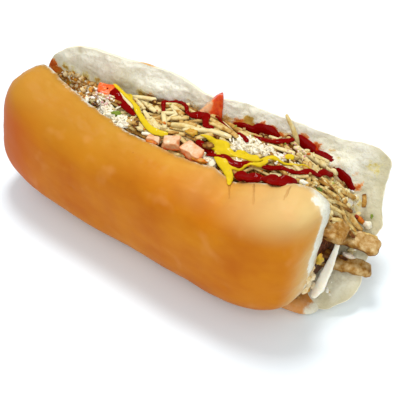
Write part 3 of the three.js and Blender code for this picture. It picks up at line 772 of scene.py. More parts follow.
def half_shape(half, around, across, tear, seed):
    """One half of the roll: a sphere whose one side becomes the crust and the other the cut face."""
    bm = bmesh.new()
    bmesh.ops.create_uvsphere(bm, u_segments=around, v_segments=across, radius=1)
    u, s, depth, spread, on_crust = half_places(half, positions(bm))
    flat = on_half(half, u, s, depth)
    outward = on_half(half, u, s, depth + 1) - flat
    outward /= np.maximum(np.linalg.norm(outward, axis=1), 1e-9)[:, None]
    x, y, z = flat.T
    is_front = half is FRONT_HALF

    low = 5 * ease((52 - z) / 30)
    torn = np.where(on_crust, np.clip(2.1 - depth / 5.5, 0, 1), 0)
    torn = torn * np.clip((x - TORN_FROM + low) / 7, 0, 1) * is_front
    offset, rim = np.zeros(len(flat)), np.zeros(len(flat))
    for k, place in enumerate(flat):
        p = Vector(place)
        edge = max(0.0, (spread[k] - RIM_FROM) * 10)
        offset[k] = (crust_relief(p, torn[k], seed) if on_crust[k]
                     else crumb_relief(p, tear, 1 - spread[k], seed))
        if edge > 0:
            rim[k] = rim_relief(p, edge, tear, seed)
    if is_front:
        for (at, over, height), size, rise in DENTS:
            far = (x - at) ** 2 + (y - over) ** 2 + (z - height) ** 2
            offset += np.where(on_crust, rise * np.exp(-far / size ** 2), 0)
    else:
        for at, height, length, tall, rise in LOBES:
            swell = rise * np.exp(-((x - at) / length) ** 2 - ((z - height) / tall) ** 2)
            offset += np.where(on_crust, 0, swell)
    points = flat + outward * (offset * np.where(on_crust, 1, -1))[:, None]
    points[:, 2] += np.where(s > 0, rim * np.clip(s * 3 - 1.5, 0, 1), 0)
    points[:, 0] += rim * 0.7 * np.clip(np.abs(u) * 6 - 5, 0, 1) * np.sign(u)
    points[:, 2] = np.maximum(points[:, 2], 0)
    move_to(bm, points)

    face = np.where(on_crust, 0, 1)
    bare = torn * (0.4 + 0.5 * ease((z - 32) / 24))
    # painted shade: darker where the surface is set back
    recess = np.clip(0.5 - 0.35 * offset, 0, 1)
    if is_front:
        layers = front_layers(x, z, s, depth, low)
    else:
        layers = back_layers(x, z, u, s, depth)
        layers["soak"] *= face
        # more painted shade towards both ends of the back half
        recess += np.clip((x - 78) / 28, 0, 1) * 1.1 + np.clip((-30 - x) / 30, 0, 1) * 0.5
    layers["crumb"] = np.maximum(face * np.clip((1 - spread) * 60 + 0.35, 0, 1), bare)
    layers["depth"] = np.where(on_crust, depth, 0)
    # the torn front crust gets painted shade in its hollows too
    layers["recess"] = recess * face + torn * (0.35 - 0.5 * offset)
    for name, values in layers.items():
        set_layer(bm, name, values)
    bmesh.ops.recalc_face_normals(bm, faces=bm.faces[:])
    return bm


# the crust depth of the fold, its painted shade and how floury it is
FOLD_LAYERS = {"depth": 10.0, "recess": 0.9, "pale": 0.3}


def fold_shape():
    """The fold between the halves, which lies on the table."""
    bm = bmesh.new()
    bmesh.ops.create_uvsphere(bm, u_segments=96, v_segments=32, radius=1)
    x, y, z = positions(bm).T
    rho = np.hypot(x, y)
    angle = np.arctan2(y, x)
    k = HINGE["squareness"]
    reach = rho * (np.abs(np.cos(angle)) ** k + np.abs(np.sin(angle)) ** k) ** (-1 / k)
    points = np.stack((HINGE["centre"][0] + reach * np.cos(angle) * HINGE["half_length"],
                       HINGE["centre"][1] + reach * np.sin(angle) * HINGE["half_width"],
                       np.maximum(HINGE["half_height"] * (1 + z) - HINGE["sunk"], 0)), -1)
    for point in points:
        p = Vector(point)
        point[2] += 0.5 * noise.noise(p / 5) if point[2] > 0.5 else 0
    move_to(bm, points)
    set_layer(bm, "crumb", np.clip((points[:, 0] - 96) / 7, 0, 1) * 0.7)
    for name, value in FOLD_LAYERS.items():
        set_layer(bm, name, np.full(len(points), value))
    bmesh.ops.recalc_face_normals(bm, faces=bm.faces[:])
    return bm


class HOTDOG_OT_roll(bpy.types.Operator):
    """Bakes the roll: a rounded front half, a leaning back half with its crumb showing, and the fold"""
    bl_idname = "hotdog.roll"
    bl_label = "Roll"

    def execute(self, context):
        settings = context.scene.hotdog_bread
        bread = bread_finish()
        for seed, (name, half) in enumerate((("roll_front", FRONT_HALF), ("roll_back", BACK_HALF))):
            shape = half_shape(half, settings.around, settings.across, settings.tear, seed)
            add_piece(name, shape, bread, ["bun"])
        add_piece("roll_fold", fold_shape(), bread, ["bun"])
        return {"FINISHED"}


# ------------------------------------------------------------------ what lies in the roll
# the potato sticks that can be told apart: the places each runs through, and its tone
PLACED_STICKS = (
    (((-44, 20.5, 74.5), (-33, 16.5, 74.5), (-24, 12.5, 75)), -0.25),
    (((-19, 15, 74), (-4, 7, 74)), 0.05), (((-9, 19, 74), (-1, 10, 74)), 0.1),
    (((-11, 28, 73), (-1, 25, 75)), 0.2), (((-3, 18, 75), (5, 24, 75)), 0.3),
    (((0, 14, 75), (15, 20, 75)), 0.25), (((17, 13, 75), (23, 21, 75)), 0.4),
    (((8, 14, 75.5), (18, 21, 75.5), (26, 24, 75), (32, 25, 74.5)), 0.1),
    (((12, 30, 75), (30, 28, 74.5)), 0.45), (((18, 30, 75), (28, 29, 74), (40, 26, 75)), 0.5),
    (((18, 35, 73), (30, 33, 73), (42, 28, 74.5)), 0.8), (((32, 32, 74), (45, 30, 75)), 0.35),
    (((54, 46, 71), (65, 43, 69)), 0.3), (((61, 41, 72), (71, 44, 67), (81, 47, 60)), 0.1),
    (((65, 42, 70), (78, 51, 62)), 0.2), (((65, 38, 72), (79, 39, 66)), 0.2),
    (((70, 36, 70), (81, 37, 66)), 0.3), (((71, 47, 65), (78, 50, 61)), 0.2),
    (((82, 33, 67), (98, 47, 49.5)), 0.45), (((84, 31, 65), (91, 47, 51)), 0.8),
    (((82, 45, 58), (89, 46, 53), (97, 46.5, 48)), 0.1),
    (((88, 31, 62), (97, 37, 47), (107, 39, 38)), 0.3), (((94, 38, 51), (108, 39, 37)), 0.35),
    (((92, 31, 56), (105, 38, 38)), 0.35), (((101, 50.5, 52), (103.5, 47, 46)), 0.72),
    (((99, 30, 46), (111, 36, 34)), 0.3), (((-36, 25, 68), (-20, 17, 73)), 0.1),
    (((-23, 21, 73), (-13, 18, 74)), 0.1), (((-16, 22, 73), (-11, 19, 74)), 0.2),
    (((9, 19, 75), (17, 21, 75)), 0.35), (((16, 26, 75.5), (26, 28, 75)), 0.4),
    (((91, 28, 59), (97, 31, 48)), 0.15), (((89, 34, 60), (95, 42, 49)), 0.2),
    (((96, 35, 49), (108, 39, 38)), 0.5), (((-13, 13, 74), (-3, 8, 74)), 0.2),
    (((-27, 15, 73), (-21, 15, 73)), 0.1), (((-13, 11, 74), (-7, 7, 74)), 0.3),
    (((5, 19, 75.5), (13, 20, 76)), 0.5), (((-5, 26, 74), (2, 24, 75)), 0.6),
    (((80, 20, 68), (93, 27, 58)), 0.4),
)
UPRIGHT_STICK = ((60, 48, 64), (56, 49.6, 73), (50, 49.7, 82.5))
# bits laid by rule: kind, count, from and to along the roll, from and to across it, smallest, largest
# and their tones
UNDER = (
    ("meat_bits", 300, -60, 97, 0.03, 0.97, 0.9, 2.4, 0.3, 0.95),
    ("potato_crumbs", 150, -56, 97, 0.03, 0.97, 0.7, 1.5, 0.1, 0.7),
    ("pepper_bits", 60, -60, 97, 0.05, 0.95, 0.7, 1.7, 0.1, 1.0),
)
OVER = (
    ("potato_crumbs", 60, -56, 98, 0.03, 0.97, 0.45, 1.0, 0.0, 0.6),
    ("meat_bits", 36, -58, 96, 0.05, 0.95, 0.5, 1.1, 0.3, 0.9),
    ("herb_bits", 30, -54, 100, 0.05, 0.95, 0.4, 0.9, 0.1, 0.9),
    ("pepper_bits", 24, -58, 97, 0.05, 0.95, 0.4, 1.0, 0.0, 0.9),
    ("meat_bits", 150, -83, -52, 0.05, 0.98, 0.7, 1.9, 0.1, 0.7),
    ("bread_crumbs", 190, -84, -48, 0.02, 0.95, 0.5, 1.5, 0.1, 0.8),
    ("onion_bits", 45, -78, -44, 0.05, 0.9, 0.5, 1.5, 0.0, 0.5),
    ("pepper_bits", 60, -84, -50, 0.05, 0.95, 0.5, 1.3, 0.1, 0.7),
    ("onion_bits", 90, 57, 70, 0.55, 0.85, 0.35, 0.75, 0.3, 1.0),
    ("onion_bits", 80, -51, -39, 0.1, 0.5, 0.4, 0.8, 0.5, 1.0),
    ("onion_bits", 40, 60, 74, 0.35, 0.5, 0.4, 0.8, 0.1, 0.7),
    ("potato_crumbs", 70, 64, 98, 0.3, 0.98, 0.5, 1.2, 0.0, 0.4),
)
# bits stuck to the torn face of the back half: kind, count, from and to along it, from and to above the
# edge of the filling, sizes, tones; and how high they may be along the roll
STUCK = (
    ("bread_crumbs", 240, -88, -56, 3, 17, 0.6, 1.7, 0.1, 0.8),
    ("pepper_bits", 150, -90, -58, 3, 17, 0.6, 1.5, 0.0, 0.5),
    ("bread_crumbs", 90, -88, 100, -2, 16, 0.35, 0.8, 0.0, 0.4),
    ("herb_bits", 40, -86, -50, 3, 14, 0.4, 1.0, 0.0, 0.6),
    ("bread_crumbs", 60, -58, -10, -3, 4, 0.5, 1.3, 0.2, 0.8),
    ("potato_crumbs", 40, 60, 100, -3, 5, 0.4, 1.0, 0.1, 0.6),
    ("meat_bits", 130, -90, -56, 2, 16, 0.7, 1.8, 0.0, 0.7),
    ("onion_bits", 90, -86, -56, 3, 17, 0.5, 1.3, 0.0, 0.5),
    ("potato_crumbs", 60, 94, 108, -3, 6, 0.9, 2.3, 0.0, 0.45),
    ("onion_bits", 26, 92, 108, -3, 7, 0.7, 1.7, 0.0, 0.4),
    ("potato_crumbs", 50, 88, 108, -2, 7, 0.5, 1.1, 0.0, 0.7),
    ("onion_bits", 22, 101, 110, -21, -7, 0.6, 1.6, 0.0, 0.5),
    ("bread_crumbs", 34, 101, 110, -22, -7, 0.35, 1.0, 0.2, 0.8),
)
STUCK_LIMIT = ((-84, 74), (-68, 70), (-54, 66.5), (50, 66.5), (60, 65), (76, 61), (90, 56), (108, 44))
# place, half sizes, turns and tone of the bits that can be told apart, by kind
PLACED_BITS = {
    "herb_bits": (
        ((-30.5, 5.5, 73), (2.9, 1.2, 1.1), (0, 0, 30), 0.5),
        ((109, 46.5, 43), (0.8, 0.7, 1.9), (0, 0, 0), 0.5),
        ((86, 27, 66), (1.9, 1.5, 1.2), (0, 30, 0), 0.8),
    ),
    "onion_bits": (
        ((-57, 15.5, 69), (2.0, 1.7, 1.6), (0, 20, 0), 0.15),
        ((-52, 14.5, 71), (2.6, 1.5, 1.3), (0, 10, 20), 0.45),
        ((-20, 5, 73), (1.8, 1.3, 1.1), (10, 0, 40), 0.6),
        ((-7, 2, 73.5), (2.6, 1.1, 1.1), (0, 0, 20), 0.45),
        ((94.5, 44, 47), (3.1, 2.6, 3.0), (0, 30, 0), 0.15),
        ((109, 43, 39), (2.4, 1.5, 3.0), (0, 25, 0), 0.35),
        ((79.5, 22, 72), (2.8, 1.6, 1.2), (0, 25, 30), 0.1),
        ((83, 27, 68.5), (1.6, 1.2, 1.0), (0, 25, 30), 0.3),
        ((107, 28.5, 26.5), (3.6, 1.6, 1.5), (0, 10, 15), 0.55),
    ),
    "meat_bits": (
        ((-15.5, 4.5, 73), (2.4, 1.5, 1.5), (0, 0, 80), 0.75),
        ((-16, 9, 74), (2.2, 1.2, 1.2), (0, 0, 70), 0.65),
        ((26, 12.5, 75.5), (3.0, 2.2, 1.4), (0, 0, 20), 0.75),
        ((106.5, 25.5, 25.8), (3.6, 1.2, 1.2), (0, 25, 10), 0.72),
        ((98, 2, 25), (2.2, 2.6, 4.5), (0, 0, 0), 0.1), ((95, -2, 14), (1.2, 1.4, 4.5), (25, 15, 0), 0.7),
    ),
    "potato_crumbs": (
        ((-12.5, 3, 73.5), (2.4, 1.2, 1.2), (0, 0, 0), 0.1),
        ((78, 44, 66), (2.2, 1.8, 1.6), (0, 0, 0), 0.2), ((83, 47, 61), (2.4, 1.9, 1.8), (0, 20, 20), 0.1),
        ((113, 40, 35), (5.0, 1.7, 1.4), (0, 12, 12), 0.45),
    ),
    "pepper_bits": (
        ((104.5, 42.5, 41), (2.8, 1.5, 1.6), (0, 30, 0), 0.45),
        ((102.5, 42, 42.5), (1.4, 1.2, 1.3), (0, 0, 0), 0.8),
        ((101, 6.5, 40.5), (2.4, 2.2, 3.3), (0, 10, 0), 0.05),
        ((28, 2, 74), (4.5, 1.3, 1.3), (0, 0, 20), 0.4),
        ((-2, -1, 72.5), (3.2, 1.0, 1.0), (0, 0, 15), 0.45),
        ((13, 15.5, 75.5), (3.2, 2.6, 1.5), (0, 0, 15), 0.1),
        ((98, 3, 17), (1.6, 2.0, 2.6), (0, 0, 0), 0.15),
    ),
    "bread_crumbs": (
        ((99, -1, 31), (2.0, 2.2, 4.0), (0, 0, 0), 0.25), ((99, 2.5, 36), (1.8, 2.0, 3.4), (0, 0, 0), 0.3),
        ((99, 4.5, 27), (2.0, 2.2, 3.0), (0, 0, 0), 0.15), ((97, 1, 20), (2.8, 2.6, 4.2), (0, 10, 0), 0.2),
        ((99, 8, 16), (3.0, 2.2, 2.2), (0, 0, 0), 0.1),
    ),
}
# kind: finish and slot
BIT_KINDS = {
    "potato_crumbs": ("fried potato", "potato_sticks"), "meat_bits": ("grilled meat", "grilled_meat"),
    "herb_bits": ("herbs", "onion"), "pepper_bits": ("roast pepper", "tomato"),
    "onion_bits": ("onion", "onion"), "bread_crumbs": ("crumbs", "baked_roll"),
}
# place, heading, half length, half width, shreds and crumbs of the patches of cheese
CHEESE_PATCHES = (
    ((-36, 6.5), -14, 10, 3.0, 80, 30), ((-26, 3.5), -8, 5, 1.8, 26, 14),
    ((40, 23.5), -20, 6, 2.6, 55, 20), ((50, 27), 12, 12, 3.6, 150, 50), ((30, 6), 5, 5.5, 2.2, 16, 12),
    ((46, 15.5), 45, 5.5, 1.6, 25, 20),
)


LAYING_SEED = 11
LIFT, RAISED = 0.25, 0.7      # how far a bit's middle lies above the pile, and how far it raises it
STEEPEST_REST = 0.6     # the steepest slope on which a straight thing rests
SUNK = 0.8              # how far a straight thing sinks from the highest place below it to the mean height
# the sticks laid by rule: from and to along the roll, the same for each fourth one, from and to in length,
# middle and spread of their headings, and their tones
LOOSE_STICKS = {"along": (-48, 92), "near_end": (76, 98), "lengths": (8, 24), "heading": (8, 38),
                "tones": (0.1, 0.15, 0.3, 0.35, 0.5, 0.75)}


def across_at(x, t):
    """The place across the roll that is a share t of the way from its front half to its back half."""
    return float(crossing(np.float64(x), 1.0, np.float64(t), 0)[1])


def direction(heading):
    return math.cos(math.radians(heading)), math.sin(math.radians(heading))


class Heap:
    """Everything that is piled in the roll, laid from the bottom up, and where each thing is."""

    def __init__(self, loose_sticks, stick, shred):
        self.rng = random.Random(LAYING_SEED)
        self.pile = Pile()
        self.laid = {kind: [] for kind in ("sticks", "shreds", "cheese_lumps", *BIT_KINDS)}
        self.scatter(UNDER)
        for n in range(loose_sticks):
            self.lay_loose_stick(LOOSE_STICKS["along" if n % 4 else "near_end"], stick)
        for path, tone in PLACED_STICKS:
            self.lay_placed_stick([Vector(p) for p in path], stick, tone)
        self.laid["sticks"].append(([Vector(p) for p in UPRIGHT_STICK], stick * 1.15, 0.25))
        for patch in CHEESE_PATCHES:
            self.lay_cheese(shred, *patch)
        self.scatter(OVER)
        self.scatter_on_face(STUCK)
        for kind, bits in PLACED_BITS.items():
            self.laid[kind] += [(Vector(place), sizes, turn, tone) for place, sizes, turn, tone in bits]

    def any_turn(self):
        return self.rng.uniform(0, 360), self.rng.uniform(-30, 30), self.rng.uniform(0, 360)

    def scatter(self, rules):
        """Strews small bits on top, from one share of the way across to another."""
        rng = self.rng
        for kind, count, low, high, near, far, smallest, largest, pale, dark in rules:
            for n in range(count):
                x = rng.uniform(low, high)
                y = across_at(x, rng.uniform(near, far))
                size = rng.uniform(smallest, largest)
                sizes = (size * rng.uniform(0.9, 1.5), size * rng.uniform(0.6, 1),
                         size * rng.uniform(0.5, 0.9))
                centre = Vector((x, y, self.pile.at(x, y) + size * LIFT))
                self.laid[kind].append((centre, sizes, self.any_turn(), rng.uniform(pale, dark)))
                self.pile.bury(centre, size * RAISED)

    def scatter_on_face(self, rules):
        """Strews small bits on the torn face of the back half, most of them low."""
        rng = self.rng
        for kind, count, low, high, below, above, smallest, largest, pale, dark in rules:
            for n in range(count):
                x = rng.uniform(low, high)
                height = level_at(x, BACK_LEVEL) + below + (above - below) * rng.random() ** 1.6
                if height > profile(x, STUCK_LIMIT):
                    continue
                size = rng.uniform(smallest, largest)
                centre = face_point(BACK_HALF, np.float64(x), np.float64(height), -0.4 * size - 0.4)
                sizes = (size * rng.uniform(0.8, 1.3), size * rng.uniform(0.6, 1),
                         size * rng.uniform(0.6, 1))
                self.laid[kind].append((Vector(centre), sizes, self.any_turn(), rng.uniform(pale, dark)))

    def settle(self, x, y, heading, length, radius):
        """Where a straight thing comes to rest on the pile: its two ends and its middle."""
        dx, dy = direction(heading)
        shares = (-0.5, -0.25, 0, 0.25, 0.5)
        heights = [self.pile.at(x + dx * length * k, y + dy * length * k) for k in shares]
        slope = np.polyfit(shares, heights, 1)[0]
        slope = max(-STEEPEST_REST * length, min(STEEPEST_REST * length, slope))
        level = max(h - slope * k for h, k in zip(heights, shares))
        mean = sum(heights) / len(heights)
        base = mean + (level - mean) * (1 - SUNK) + radius * 0.7
        bend = self.rng.uniform(-1, 1) * length * 0.06
        path = []
        for k in (-0.5, 0, 0.5):
            aside = bend * (1 - 4 * k * k)
            path.append(Vector((x + dx * length * k - dy * aside, y + dy * length * k + dx * aside,
                                base + slope * k)))
        return path

    def bury(self, path, radius, steps=12):
        """Raises the pile under a thing that follows a path."""
        at = curve_through(path)
        for k in range(steps + 1):
            self.pile.bury(at(k / steps), radius)

    def lay_loose_stick(self, span, stick):
        """Lays a stick by rule, unless it would reach out of the trough."""
        rng = self.rng
        x = rng.uniform(*span)
        length = rng.uniform(*LOOSE_STICKS["lengths"])
        size = stick * rng.uniform(0.62, 1.0)
        y = across_at(x, rng.uniform(0.5 if x > 90 else 0.05, 0.96))
        path = self.settle(x, y, rng.gauss(*LOOSE_STICKS["heading"]), length, size)
        if all(across_at(end.x, 0.03) < end.y < across_at(end.x, 0.97) for end in (path[0], path[-1])):
            self.bury(path, size)
            tone = rng.choice(LOOSE_STICKS["tones"]) + rng.uniform(-0.1, 0.1)
            self.laid["sticks"].append((path, size, tone))

    def lay_placed_stick(self, path, stick, tone):
        """Lays a stick that can be told apart, a little bent where only its ends are given."""
        rng = self.rng
        if len(path) == 2:
            push = Vector((rng.uniform(-0.5, 0.5), rng.uniform(-0.5, 0.5), 0.3))
            path.insert(1, (path[0] + path[1]) / 2 + push)
        size = stick * rng.uniform(0.95, 1.15)
        self.bury(path, size)
        self.laid["sticks"].append((path, size, tone))

    def lay_cheese(self, shred, place, heading, half_length, half_width, shreds, crumbs):
        """Builds up one patch of grated cheese: lumps at the bottom, then shreds, then crumbs."""
        rng, pile, lumps = self.rng, self.pile, self.laid["cheese_lumps"]
        dx, dy = direction(heading)

        def in_patch(spread):
            a, b = rng.gauss(0, spread), rng.gauss(0, spread)
            return (place[0] + dx * a * half_length - dy * b * half_width,
                    place[1] + dy * a * half_length + dx * b * half_width)

        for n in range(int(half_length * half_width / 1.1)):
            x, y = in_patch(0.45)
            size = rng.uniform(1.1, 2.5)
            centre = Vector((x, y, pile.around(x, y, 1.5)[1] + 0.1))
            turn = (rng.uniform(-15, 15), rng.uniform(-15, 15), rng.uniform(0, 360))
            lumps.append((centre, (size * 1.5, size, size * 0.45), turn, rng.uniform(0, 0.35)))
            pile.bury(centre, size * 0.4)
        for n in range(shreds):
            x, y = in_patch(0.5)
            size = shred * rng.uniform(0.6, 1.2)
            path = self.settle(x, y, rng.uniform(0, 360), rng.uniform(1.5, 6.5), size)
            self.bury(path, size * 0.6)
            self.laid["shreds"].append((path, size, rng.uniform(0, 0.6)))
        for n in range(crumbs):
            x, y = in_patch(0.65)
            size = rng.uniform(0.3, 0.8)
            centre = Vector((x, y, pile.at(x, y) + size * 0.3))
            lumps.append((centre, (size * 1.2, size, size * 0.8), self.any_turn(), rng.uniform(0, 0.6)))


@lru_cache(maxsize=None)
def heaped(loose_sticks, stick, shred):
    return Heap(loose_sticks, stick, shred)


def heap_of(context):
    """The heap for the settings as they are, made once and used by all the pieces in it."""
    settings = context.scene.hotdog_filling
    return heaped(settings.loose_sticks, settings.stick, settings.shred)


def toned_mesh():
    bm = bmesh.new()
    bm.verts.layers.float.new("tone")
    return bm


CORE_CUTS = (300, 70)       # along the roll and across it
# the filling gets dark towards the open end: painted shade in the gaps between the strips of meat
CORE_TONES = ((-60, 0.15), (-45, 0.4), (90, 0.4), (97, 0.85))      # places along the roll and tones


def core_shape():
    """The uneven top of the filling, with sides that go down into the trough."""
    bm = toned_mesh()
    bmesh.ops.create_grid(bm, x_segments=CORE_CUTS[0], y_segments=CORE_CUTS[1], size=1)
    rim = [edge for edge in bm.edges if edge.is_boundary]
    skirt = bmesh.ops.extrude_edge_only(bm, edges=rim)["geom"]
    lowered = [g for g in skirt if isinstance(g, bmesh.types.BMVert)]
    bmesh.ops.translate(bm, verts=lowered, vec=(0, 0, -1))
    bmesh.ops.holes_fill(bm, edges=[e for e in bm.edges if e.is_boundary], sides=0)
    x, y, z = positions(bm).T
    along_roll = FILL_START + (x + 1) / 2 * (FILL_END - FILL_START)
    top = crossing(along_roll, 1.0, (y + 1) / 2, CROWN)
    low = crossing(along_roll, 0.3, (y + 1) / 2, 0)
    drops = np.interp(along_roll, *zip(*DROP))
    points = []
    for k, (high, deep) in enumerate(zip(top, low)):
        p = Vector(deep)
        if z[k] > -0.5:
            p = Vector(high)
            p.z += 2.0 * noise.turbulence(p / 5, 3, True) - 1.0 - drops[k]
        points.append(p)
    move_to(bm, points)
    set_layer(bm, "tone", np.interp(along_roll, *zip(*CORE_TONES)))
    bmesh.ops.recalc_face_normals(bm, faces=bm.faces[:])
    return bm


class HOTDOG_OT_filling(bpy.types.Operator):
    """Fills the trough with the mixed filling that everything else lies on"""
    bl_idname = "hotdog.filling"
    bl_label = "Filling"

    def execute(self, context):
        finish = food_finish("mixed filling")
        add_piece("mixed_filling", core_shape(), finish, ["meat_filling"])
        return {"FINISHED"}


class HOTDOG_OT_sticks(bpy.types.Operator):
    """Heaps the fried potato sticks on the filling"""
    bl_idname = "hotdog.sticks"
    bl_label = "Potato sticks"

    def execute(self, context):
        bm = toned_mesh()
        shape = bar_shape(rings=5, softness=0.5, segments=1)
        for n, (path, size, tone) in enumerate(heap_of(context).laid["sticks"]):
            flat = 0.8 + 0.2 * math.sin(n * 2.4)
            lay_bar(bm, shape, path, tapered(size, 0.8), tapered(size * flat, 0.8), rough=0.3, seed=n,
                    twist=0.6, tone=lambda co: tone + 0.25 * max(0, abs(co.x) - 0.75) * 4 * (tone > 0.25))
        add_piece("potato_sticks", bm, food_finish("fried potato"),
                  ["potato_stick_heap", "potato_stick_upright"])
        return {"FINISHED"}


BIT_DETAIL = ((2.8, 3), (0.9, 2), (0, 1))      # above which half size a bit has how many divisions


class HOTDOG_OT_bits(bpy.types.Operator):
    """Strews the small bits: crumbs, shreds of meat, herbs, roast pepper and onion"""
    bl_idname = "hotdog.bits"
    bl_label = "Bits and crumbs"

    def execute(self, context):
        for kind, (finish, slot) in BIT_KINDS.items():
            bm = toned_mesh()
            for n, (centre, sizes, turn, tone) in enumerate(heap_of(context).laid[kind]):
                shape = lump_shape(next(detail for above, detail in BIT_DETAIL if max(sizes) > above))
                lay_lump(bm, shape, centre, sizes, turn, rough=0.5, seed=n, tone=tone)
            add_piece(kind, bm, food_finish(finish))
        return {"FINISHED"}


# path, half width, half thickness, tone and how much darker the underside is, of the meat at the open end
MEAT_STRIPS = (
    (((84, 18, 44), (92, 20, 48.5), (100, 22, 49), (106, 24, 45.5)), 7.5, 2.6, 0.6, 0.1),
    (((84, 24, 32), (100, 30, 36.5), (112, 33.5, 36), (121.5, 35, 34.5)), 5.2, 2.8, 0.6, 0.25),
    (((88, 15, 25), (101, 21.5, 24), (110, 25.5, 23), (116, 29, 21.5), (120, 32, 19)),
     4.2, 2.6, 0.52, 0.15),
    # the last two strips are nearly black: painted shade in the gaps between the strips and beside the
    # onion
    (((84, 14, 28), (97, 17, 31), (103, 20, 29)), 4, 3, 0.95, 0.1),
    (((84, 5, 30), (96, 5, 36), (100, 5, 37)), 3, 3.4, 0.95, 0.1),
)


class HOTDOG_OT_meat(bpy.types.Operator):
    """Lets strips of meat stick out of the open end"""
    bl_idname = "hotdog.meat"
    bl_label = "Meat"

    def execute(self, context):
        bm = toned_mesh()
        shape = bar_shape(rings=30, softness=0.55, segments=3)
        for n, (path, width, thickness, tone, under) in enumerate(MEAT_STRIPS):
            lay_bar(bm, shape, path, tapered(width, 0.65), tapered(thickness, 0.6), rough=1.3, seed=n + 3,
                    twist=0.4, tone=lambda co: tone - under * co.z)
        add_piece("meat_strips", bm, food_finish("grilled meat"),
                  ["meat_slab", "meat_strip_upper", "meat_strip_lower"])
        return {"FINISHED"}


ONION_PATH = ((103.5, 22, 43), (104, 14, 31), (103, 8, 20), (101, 3.5, 11.5))
ONION_WIDTHS = ((0, 0.9), (0.3, 2.1), (0.75, 3.5), (1, 1.8))      # half widths at shares of the path
ONION_HALF_THICKNESS = 1.1
ONION_TONE = 0.1


class HOTDOG_OT_onion(bpy.types.Operator):
    """Hangs a pale slice of onion in the open end"""
    bl_idname = "hotdog.onion"
    bl_label = "Onion"

    def execute(self, context):
        bm = toned_mesh()
        lay_bar(bm, bar_shape(rings=30, softness=0.6, segments=3), ONION_PATH,
                width=lambda t: profile(t, ONION_WIDTHS), height=lambda t: ONION_HALF_THICKNESS,
                rough=0.5, seed=5, twist=0.3, tone=lambda co: ONION_TONE)
        add_piece("onion_strip", bm, food_finish("onion"), ["onion_slice"])
        return {"FINISHED"}


class HOTDOG_OT_cheese(bpy.types.Operator):
    """Scatters grated cheese in its patches"""
    bl_idname = "hotdog.cheese"
    bl_label = "Grated cheese"

    def execute(self, context):
        laid = heap_of(context).laid
        bm = toned_mesh()
        shape = bar_shape(rings=3, softness=0.5, segments=1)
        for n, (path, size, tone) in enumerate(laid["shreds"]):
            lay_bar(bm, shape, path, tapered(size * 1.2, 0.6), tapered(size * 0.8, 0.6), rough=0.25, seed=n,
                    twist=1.0, tone=lambda co: tone)
        for n, (centre, sizes, turn, tone) in enumerate(laid["cheese_lumps"]):
            shape = lump_shape(2 if sizes[0] > 1 else 1)
            lay_lump(bm, shape, centre, sizes, turn, rough=0.5, seed=n, tone=tone)
        add_piece("grated_cheese", bm, food_finish("grated cheese"),
                  ["cheese_left", "cheese_middle", "cheese_front"])
        return {"FINISHED"}


# ------------------------------------------------------------------ tomato
# place, height over the filling, half sizes, turns, tone of the flesh
TOMATO_DICE = (
    ((-46.5, 15.5), 3.0, (4.6, 3.6, 3), (10, 0, 20), 0.6),
    ((-2.5, 1.5), 1.4, (4, 2.0, 2.0), (0, 10, 15), 0.15),
    ((8, 4), 2.0, (4.6, 3.6, 2.8), (0, -8, 25), 0.13), ((21, 5), 1.8, (6, 4, 2.6), (5, 5, -5), 0.22),
)
WEDGE = {"middle": (10.5, 36.5, 76), "outline": ((-8.4, -4), (6.2, -6.6), (6.6, 7.6), (3.6, 7.2)),
         "thickness": 6, "edge": 0.9, "turns": (62, 0, 33), "ridge": 0.4}


def surface_height(x, y):
    front = face_point(FRONT_HALF, np.float64(x), level_at(x, FRONT_LEVEL), INSET)
    back = face_point(BACK_HALF, np.float64(x), level_at(x, BACK_LEVEL), INSET)
    t = min(max((y - front[1]) / (back[1] - front[1]), 0), 1)
    return front[2] + (back[2] - front[2]) * t + CROWN * 4 * t * (1 - t)


def block_shape(softness, segments, cuts):
    """A block from -1 to 1 each way, with soft edges."""
    bm = bmesh.new()
    bmesh.ops.create_cube(bm, size=2)
    bmesh.ops.bevel(bm, geom=bm.edges[:], offset=softness, segments=segments, affect="EDGES",
                    profile=0.5, material=-1)
    bmesh.ops.subdivide_edges(bm, edges=bm.edges[:], cuts=cuts, use_grid_fill=True)
    mesh = bpy.data.meshes.new("block shape")
    bm.to_mesh(mesh)
    bm.free()
    return mesh


def dice_shape():
    """Uneven dice, redder on the sides where the skin was."""
    bm = toned_mesh()
    tone = bm.verts.layers.float["tone"]
    shape = block_shape(softness=0.34, segments=3, cuts=3)
    for n, ((x, y), lift, sizes, turns, flesh) in enumerate(TOMATO_DICE):
        turn = turned(turns)
        centre = Vector((x, y, surface_height(x, y) + lift))
        for vert in new_verts(bm, shape):
            co = vert.co.copy()
            redder = (max(0.0, -co.y - 0.8) * 0.9 + max(0.0, -co.z - 0.2) * 0.5
                      + max(0.0, abs(co.x) - 0.85) * 1.2)
            vert[tone] = flesh + redder
            co += wander(co * 0.7 + Vector((n * 5, 0, 0))) * 0.35
            place = turn @ Vector((co.x * sizes[0], co.y * sizes[1], co.z * sizes[2])) + centre
            vert.co = place + wander(place / 2.5 + Vector((n, 0, 0))) * 0.3
    return bm


